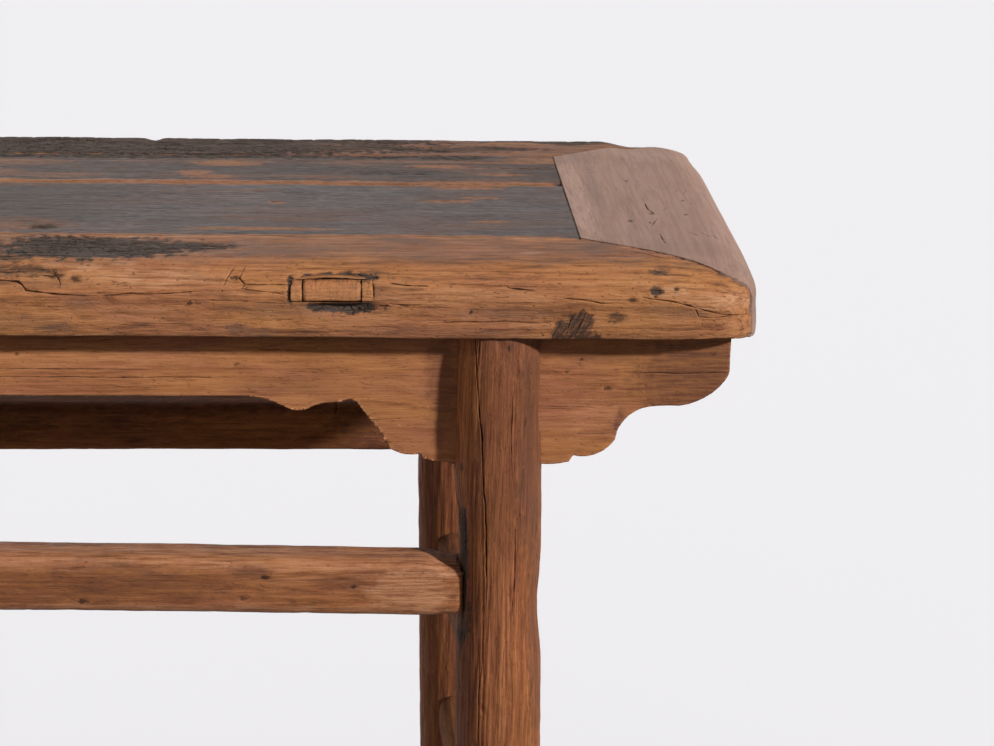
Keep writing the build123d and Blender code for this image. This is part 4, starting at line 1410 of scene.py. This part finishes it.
class ALTAR_TABLE_OT_panel(bpy.types.Operator):
    """Make the two boards of the panel"""

    bl_idname = "altar_table.panel"
    bl_label = "Panel"

    def execute(self, context):
        look = finish()
        relief = top_relief(ALONG_X, 0.35)
        boards = (("panel_board_front", 6, look.panel_grey, 0.74, PANEL_FRONT_KNOTS, PANEL_FRONT_PATCHES),
                  ("panel_board_back", 7, look.back_grey, 0.66, [], PANEL_BACK_PATCHES))
        for name, seed, grey, weathering, knots, patches in boards:
            wood = OldWood(f"{name}_wood", ALONG_X, look.panel_pale, look.panel_mid, look.panel_deep,
                           grey=grey, rub=(0.31, 0.140, 0.070), dirt=(0.045, 0.033, 0.028),
                           weathering=weathering, ring_pitch=0.008, rings=0.10, pith=(0, 0.05, -0.83),
                           streak=0.28, mottle=1.0, line=0.2, dash=0.22)
            make(Piece(name, "panel_wood", ALONG_X, voxel=3.4, fine=seen_top, relief=relief, age=pale_joint,
                       cracks=random_cracks(seed, name, ALONG_X, ["top"], 6, PLAIN_PANEL), knots=knots,
                       patches=patches + scattered(60 + seed, name, ALONG_X, ["top"], 12, PLAIN_PANEL)),
                 wood.material)
        return {"FINISHED"}


class ALTAR_TABLE_OT_battens(bpy.types.Operator):
    """Make the battens under the panel and their wedges"""

    bl_idname = "altar_table.battens"
    bl_label = "Battens and Wedges"

    def execute(self, context):
        tones = [tinted(finish().batten_mid, share) for share in (1.3, 1.0, 0.45)]
        wood = OldWood("batten_wood", ALONG_Y, *tones, ring_pitch=0.005, pith=(0, 0, -0.80), ends=1.15)
        relief = worn(ALONG_Y, 0.05, 0.3, chip=0.3, inward=0.2)
        for name in ("left_outer", "left_inner", "right_inner", "right_outer"):
            make(Piece(f"batten_{name}", "batten_wood", ALONG_Y, voxel=2.6, relief=relief, arris_wear=0.5),
                 wood.material)
        paler = OldWood("wedge_wood", ALONG_Y, *tones, ring_pitch=0.004, ends=1.35)
        make(Piece("batten_wedges", "wedge_wood", ALONG_Y, voxel=1.4, soften=1, arris_wear=0.3,
                   relief=worn(ALONG_Y, 0.03, 0.1, inward=0.1)), paler.material)
        return {"FINISHED"}


# Legs

def leg_relief(seed, fuller=False):
    """Wear of a leg: grooves along the grain that deepen downwards, hollows and bruises."""
    def relief(point, normal):
        moved = point + Vector((seed, seed, 0))
        low = smoothstep(0.72, 0.58, point.z)
        cut = grooves(moved, ALONG_Z, 0.0036, 0.03)
        depth = waves(moved, 0.035, 1.4 * MM)
        depth += wear().leg_furrows * (0.4 + 0.6 * low) * (cut - 0.2) * MM
        depth += chips(moved, 0.010, 0.7 * MM, ALONG_Z)
        # The leg swells a little downwards, and its head is shallower under the top
        depth -= (0.5 + 0.8 * smoothstep(0.80, 0.50, point.z)) * smoothstep(0.20, 0.30, point.z) * MM
        outward = normal.y * (1 if point.y > 0 else -1)
        depth += 1.8 * smoothstep(0.770, 0.798, point.z) * smoothstep(0.0, 0.6, outward) * MM
        if fuller:
            depth -= 1.6 * smoothstep(0.64, 0.72, point.z) * smoothstep(0.0, -0.5, normal.x) * MM
        return depth, cut
    return relief


def dented(point):
    """Shift of the front right leg's sides by the stretcher: a dent on the right, a hollow on the left."""
    dent = hump(point.z, 0.578, 0.030) * smoothstep(0.762, 0.788, point.x)
    hollow = hump(point.z, 0.61, 0.045) * smoothstep(0.745, 0.728, point.x)
    return Vector((3.0 * hollow - 3.2 * dent, 0, 0)) * MM


def seen_leg(point, normal):
    """The side of the front right leg that shows closest."""
    return point.z > FINE_LEG_ABOVE and normal.y < 0.1


class ALTAR_TABLE_OT_legs(bpy.types.Operator):
    """Make the four legs"""

    bl_idname = "altar_table.legs"
    bl_label = "Legs"

    def execute(self, context):
        look = finish()
        wood = OldWood("leg_wood", ALONG_Z, look.leg_pale, look.leg_mid, look.leg_deep,
                       ring_pitch=0.005, rings=0.12, pith=(-0.60, 0.10, 0), blotch=0.38, streak=0.50,
                       mottle=0.35, line=1.3, dash=0.028, stain=0.25, furrow=0.8, roughness=(0.55, 0.75),
                       dirt=(0.080, 0.031, 0.015))
        around = ["front", "back", "left", "right"]
        for seed, name in enumerate(("front_left", "front_right", "back_left", "back_right")):
            piece = Piece(f"leg_{name}", "leg_wood", ALONG_Z, soften=6, seed=seed)
            if name == "front_right":
                piece.voxel = 2.9
                piece.fine = seen_leg
                piece.relief = leg_relief(seed, fuller=True)
                piece.bow = dented
                piece.cracks = LEG_SEEN_CRACKS + random_cracks(21, piece.node, ALONG_Z, ["back"], 4)
                piece.knots = LEG_SEEN_KNOTS
                piece.patches = LEG_SEEN_PATCHES
            else:
                piece.voxel = 2.7
                piece.relief = leg_relief(seed)
                piece.cracks = random_cracks(20 + seed, piece.node, ALONG_Z, around, 9)
                piece.patches = scattered(70 + seed, piece.node, ALONG_Z, around, 8)
            make(piece, wood.material)
        return {"FINISHED"}


# Aprons

def apron_shade_under_top(point, normal, values):
    """Painted shade under the top: the aprons darken towards their upper edge."""
    high = smoothstep(0.786, 0.804, point.z + 0.006 * noise.noise(30 * point))
    values["soil"] = max(values["soil"], 0.9 * high)


def carved(point):
    """Shift of the front apron's lower edge: a squarer hollow by the legs, a little higher than drawn."""
    along = abs(point.x)
    lower = 1 - smoothstep(0.760, 0.785, point.z)
    lean = 4.5 * hump(along, 0.644, 0.007) - 2.6 * hump(along, 0.663, 0.008)
    lean += 2.3 * smoothstep(0.669, 0.677, along) * (1 - smoothstep(0.705, 0.730, along))
    lift = 2.2 * (1 - smoothstep(0.715, 0.725, along))
    return Vector((lean * lower * (1 if point.x > 0 else -1), 0, lift * lower)) * MM


def seen_apron(point, normal):
    """The stretch of the front apron that shows closest."""
    return point.x > FINE_FRONT_FROM and normal.y < -0.5


class ALTAR_TABLE_OT_aprons(bpy.types.Operator):
    """Make the long aprons and the short end aprons"""

    bl_idname = "altar_table.aprons"
    bl_label = "Aprons"

    def execute(self, context):
        look = finish()
        tones = (look.apron_pale, look.apron_mid, look.apron_deep)
        settings = dict(ring_pitch=0.006, furrow=0.3, dirt=(0.115, 0.042, 0.022))
        common = dict(slot="apron_wood", arris_wear=0.35, age=apron_shade_under_top)
        wood = OldWood("apron_wood", ALONG_X, *tones, rings=0.22, pith=(0, 0, -0.69), blotch=0.6,
                       streak=0.32, mottle=0.40, stain=0.15, **settings)
        relief = worn(ALONG_X, 0.05, 0.5, pitch=0.0026, groove=0.18, chip=0.25)
        name = "apron_front"
        make(Piece(name, grain=ALONG_X, voxel=2.8, fine=seen_apron, relief=relief, bow=carved,
                   cracks=APRON_FRONT_CRACKS + random_cracks(30, name, ALONG_X, ["front"], 4, PLAIN_APRON),
                   knots=APRON_FRONT_KNOTS,
                   patches=APRON_FRONT_PATCHES + scattered(80, name, ALONG_X, ["front"], 8, PLAIN_APRON),
                   **common), wood.material)
        name = "apron_back"
        make(Piece(name, grain=ALONG_X, voxel=3.0, relief=relief,
                   cracks=random_cracks(31, name, ALONG_X, ["back"], 7),
                   patches=scattered(81, name, ALONG_X, ["back", "front"], 16), **common), wood.material)
        across = OldWood("end_apron_wood", ALONG_Y, *tones, rings=0.25, pith=(0, 0, -0.72), blotch=0.7,
                         mottle=0.45, stain=0.2, **settings)
        for end in ("left", "right"):
            make(Piece(f"end_apron_{end}", grain=ALONG_Y, voxel=2.6,
                       relief=worn(ALONG_Y, 0.05, 0.5, groove=0.18), **common), across.material)
        return {"FINISHED"}


# Stretchers

def sagging(point):
    """The front stretcher's bend, high in the middle and low at the legs, and its rounded ends."""
    side = 1 if point.x > 0 else -1
    end = smoothstep(0.694, 0.722, abs(point.x)) ** 2
    taper = -4.0 * end * smoothstep(0.004, 0.018, point.z - STRETCHER_LEVEL)
    taper += 1.5 * end * smoothstep(0.004, 0.018, STRETCHER_LEVEL - point.z)
    tenon = -4.2 * smoothstep(0.765, 0.780, abs(point.x)) * side
    return Vector((tenon, 0, 5.5 - 9.0 * (point.x / 0.72) ** 2 + taper)) * MM


def seen_stretcher(point, normal):
    """The stretch of the front stretcher that shows closest."""
    return point.x > FINE_FRONT_FROM and normal.y < 0.3


class ALTAR_TABLE_OT_stretchers(bpy.types.Operator):
    """Make the long stretchers and the side stretchers"""

    bl_idname = "altar_table.stretchers"
    bl_label = "Stretchers"

    def execute(self, context):
        look = finish()
        pale, mid, deep = look.stretcher_pale, look.stretcher_mid, look.stretcher_deep
        settings = dict(rub=(0.43, 0.195, 0.098), dirt=(0.105, 0.036, 0.018), ring_pitch=0.006, rings=0.2,
                        blotch=0.8, streak=0.35, mottle=1.1, stain=0.5, bumps=1.2)
        front = OldWood("stretcher_wood", ALONG_X, pale, mid, deep, pith=(0, 0.19, -0.57),
                        roughness=(0.45, 0.65), **settings)
        settings["roughness"] = (0.80, 0.95)
        rear = OldWood("rear_stretcher_wood", ALONG_X, tinted(pale, 1.15), tinted(mid, 1.15),
                       tinted(deep, 1.15), pith=(0, -0.19, -0.57), **settings)
        across = OldWood("side_stretcher_wood", ALONG_Y, tinted(pale, 0.7), tinted(mid, 0.7),
                         tinted(deep, 0.7), pith=(-0.7, 0, -0.4), **settings)
        name, sides = "long_stretcher_front", ["front", "top"]
        make(Piece(name, "stretcher_wood", ALONG_X, voxel=2.6, fine=seen_stretcher, arris_wear=0.3,
                   relief=worn(ALONG_X, 0.04, 0.9, groove=0.22, chip=0.4, inward=-1.3), bow=sagging,
                   cracks=random_cracks(41, name, ALONG_X, sides, 5, PLAIN_STRETCHER),
                   knots=STRETCHER_FRONT_KNOTS,
                   patches=STRETCHER_FRONT_PATCHES
                   + scattered(90, name, ALONG_X, sides, 9, PLAIN_STRETCHER)), front.material)
        name = "long_stretcher_back"
        make(Piece(name, "stretcher_wood", ALONG_X, voxel=3.0, arris_wear=0.4,
                   relief=worn(ALONG_X, 0.04, 0.9, groove=0.22, chip=0.4),
                   cracks=random_cracks(42, name, ALONG_X, ["back", "top"], 6) + STRETCHER_BACK_CRACKS,
                   patches=scattered(91, name, ALONG_X, ["back"], 10) + STRETCHER_BACK_PAINTED_SHADE),
             rear.material)
        for seed, level in enumerate(("upper", "lower")):
            for end in ("left", "right"):
                name, sides = f"side_stretcher_{level}_{end}", [end, "top"]
                make(Piece(name, "stretcher_wood", ALONG_Y, voxel=2.8, arris_wear=0.4,
                           relief=worn(ALONG_Y, 0.04, 0.9, groove=0.22),
                           cracks=random_cracks(50 + seed, name, ALONG_Y, sides, 3),
                           patches=scattered(92 + seed, name, ALONG_Y, sides, 4)), across.material)
        return {"FINISHED"}


# Stage

CAMERA_PLACE = (0.6169, -1.9797, 1.4188)
CAMERA_PITCH, CAMERA_YAW, CAMERA_ROLL = radians(19.735), radians(4.378), radians(1.619)
FLOOR_RADIUS = 40
FLOOR_LIGHTING = (0.13, 0.12, 0.11)
BACKDROP = (0.855, 0.847, 0.871)
COOL_LIGHT = (0.97, 0.98, 1.0)
WARM_LIGHT = (1.0, 0.97, 0.93)


def camera_turn():
    """The camera's rotation: looking down, a little to the right, and rolled clockwise."""
    ahead = cos(CAMERA_PITCH)
    forward = Vector((sin(CAMERA_YAW) * ahead, cos(CAMERA_YAW) * ahead, -sin(CAMERA_PITCH)))
    right = Vector((cos(CAMERA_YAW), -sin(CAMERA_YAW), 0))
    up = right.cross(forward)
    tilted_right = cos(CAMERA_ROLL) * right + sin(CAMERA_ROLL) * up
    tilted_up = cos(CAMERA_ROLL) * up - sin(CAMERA_ROLL) * right
    return Matrix((tilted_right, tilted_up, -forward)).transposed()


def add_sun(name, direction, strength, spread, colour):
    """A distant soft light that shines from a direction."""
    lamp = bpy.data.lights.new(name, "SUN")
    lamp.energy = strength
    lamp.angle = spread
    lamp.color = colour
    sun = bpy.data.objects.new(name, lamp)
    sun.rotation_mode = "QUATERNION"
    sun.rotation_quaternion = Vector(direction).to_track_quat("Z", "Y")
    bpy.context.scene.collection.objects.link(sun)


def shown(nodes):
    """One for rays that show the background itself, nought for those that light by it."""
    path = nodes.add("ShaderNodeLightPath")
    direct = nodes.greater(path.outputs["Is Camera Ray"], path.outputs["Is Glossy Ray"])
    return nodes.greater(direct, path.outputs["Is Transmission Ray"])


def add_floor(tone):
    """A wide plain floor, paler to look at than the light that it throws back."""
    bm = bmesh.new()
    bmesh.ops.create_circle(bm, cap_ends=True, segments=96, radius=FLOOR_RADIUS)
    mesh = bpy.data.meshes.new("floor")
    bm.to_mesh(mesh)
    bm.free()
    floor = bpy.data.objects.new("floor", mesh)
    bpy.context.scene.collection.objects.link(floor)
    material = bpy.data.materials.new("floor")
    material.use_nodes = True
    nodes = Nodes(material.node_tree)
    colour = nodes.mixed(shown(nodes), FLOOR_LIGHTING, tone)
    nodes.output("ShaderNodeOutputMaterial", nodes.add("ShaderNodeBsdfDiffuse", {"Color": colour}))
    mesh.materials.append(material)


def add_room(around):
    """A faint warm light from all round, before a pale backdrop."""
    world = bpy.data.worlds.new("room")
    world.use_nodes = True
    nodes = Nodes(world.node_tree)
    soft = [around * part for part in (1.12, 1.0, 0.90)]
    colour = nodes.mixed(shown(nodes), soft, BACKDROP)
    light = nodes.add("ShaderNodeBackground", {"Color": colour, "Strength": 1.0})
    nodes.output("ShaderNodeOutputWorld", light)
    bpy.context.scene.world = world


def add_camera(lens):
    """The camera, before the table's right end and above it."""
    data = bpy.data.cameras.new("camera")
    data.lens = lens
    data.sensor_width = 36
    camera = bpy.data.objects.new("camera", data)
    camera.matrix_world = Matrix.Translation(CAMERA_PLACE) @ camera_turn().to_4x4()
    bpy.context.scene.collection.objects.link(camera)
    bpy.context.scene.camera = camera


class ALTAR_TABLE_OT_stage(bpy.types.Operator):
    """Set up the floor, the light and the camera"""

    bl_idname = "altar_table.stage"
    bl_label = "Stage"

    def execute(self, context):
        stage = context.scene.altar_table_stage
        add_floor(stage.floor)
        add_sun("key", (1.35, -1.0, 0.87), stage.key, radians(4), COOL_LIGHT)
        add_sun("front", (-1.0, -1.0, 0.45), stage.front, radians(100), WARM_LIGHT)
        add_sun("back", (-0.5, 1.0, 0.35), stage.back, radians(60), WARM_LIGHT)
        add_room(stage.around)
        add_camera(stage.lens)
        context.scene.view_settings.view_transform = "Standard"
        return {"FINISHED"}


class ALTAR_TABLE_PT_panel(bpy.types.Panel):
    """Sidebar panel with every step and setting"""

    bl_label = "Altar Table"
    bl_idname = "ALTAR_TABLE_PT_panel"
    bl_space_type = "VIEW_3D"
    bl_region_type = "UI"
    bl_category = "Altar Table"

    def draw(self, context):
        for step in STEPS:
            self.layout.operator(step.bl_idname)
        for name, group in GROUPS.items():
            settings = getattr(context.scene, name)
            for setting in group.__annotations__:
                self.layout.prop(settings, setting)


STEPS = (ALTAR_TABLE_OT_long_rails, ALTAR_TABLE_OT_end_rails, ALTAR_TABLE_OT_panel, ALTAR_TABLE_OT_battens,
         ALTAR_TABLE_OT_legs, ALTAR_TABLE_OT_aprons, ALTAR_TABLE_OT_stretchers, ALTAR_TABLE_OT_stage)
GROUPS = {"altar_table_finish": AltarTableFinish, "altar_table_wear": AltarTableWear,
          "altar_table_stage": AltarTableStage}


def register():
    """Adds the settings to the scene, and the steps and their panel."""
    for name, group in GROUPS.items():
        bpy.utils.register_class(group)
        setattr(bpy.types.Scene, name, PointerProperty(type=group))
    for step in (*STEPS, ALTAR_TABLE_PT_panel):
        bpy.utils.register_class(step)


def unregister():
    """Takes away all that register adds."""
    for step in (*STEPS, ALTAR_TABLE_PT_panel):
        bpy.utils.unregister_class(step)
    for name, group in GROUPS.items():
        delattr(bpy.types.Scene, name)
        bpy.utils.unregister_class(group)


def main():
    """Makes the stage and every piece."""
    register()
    bpy.ops.altar_table.stage()
    bpy.ops.altar_table.long_rails()
    bpy.ops.altar_table.end_rails()
    bpy.ops.altar_table.panel()
    bpy.ops.altar_table.battens()
    bpy.ops.altar_table.legs()
    bpy.ops.altar_table.aprons()
    bpy.ops.altar_table.stretchers()


if __name__ == "__main__":
    main()
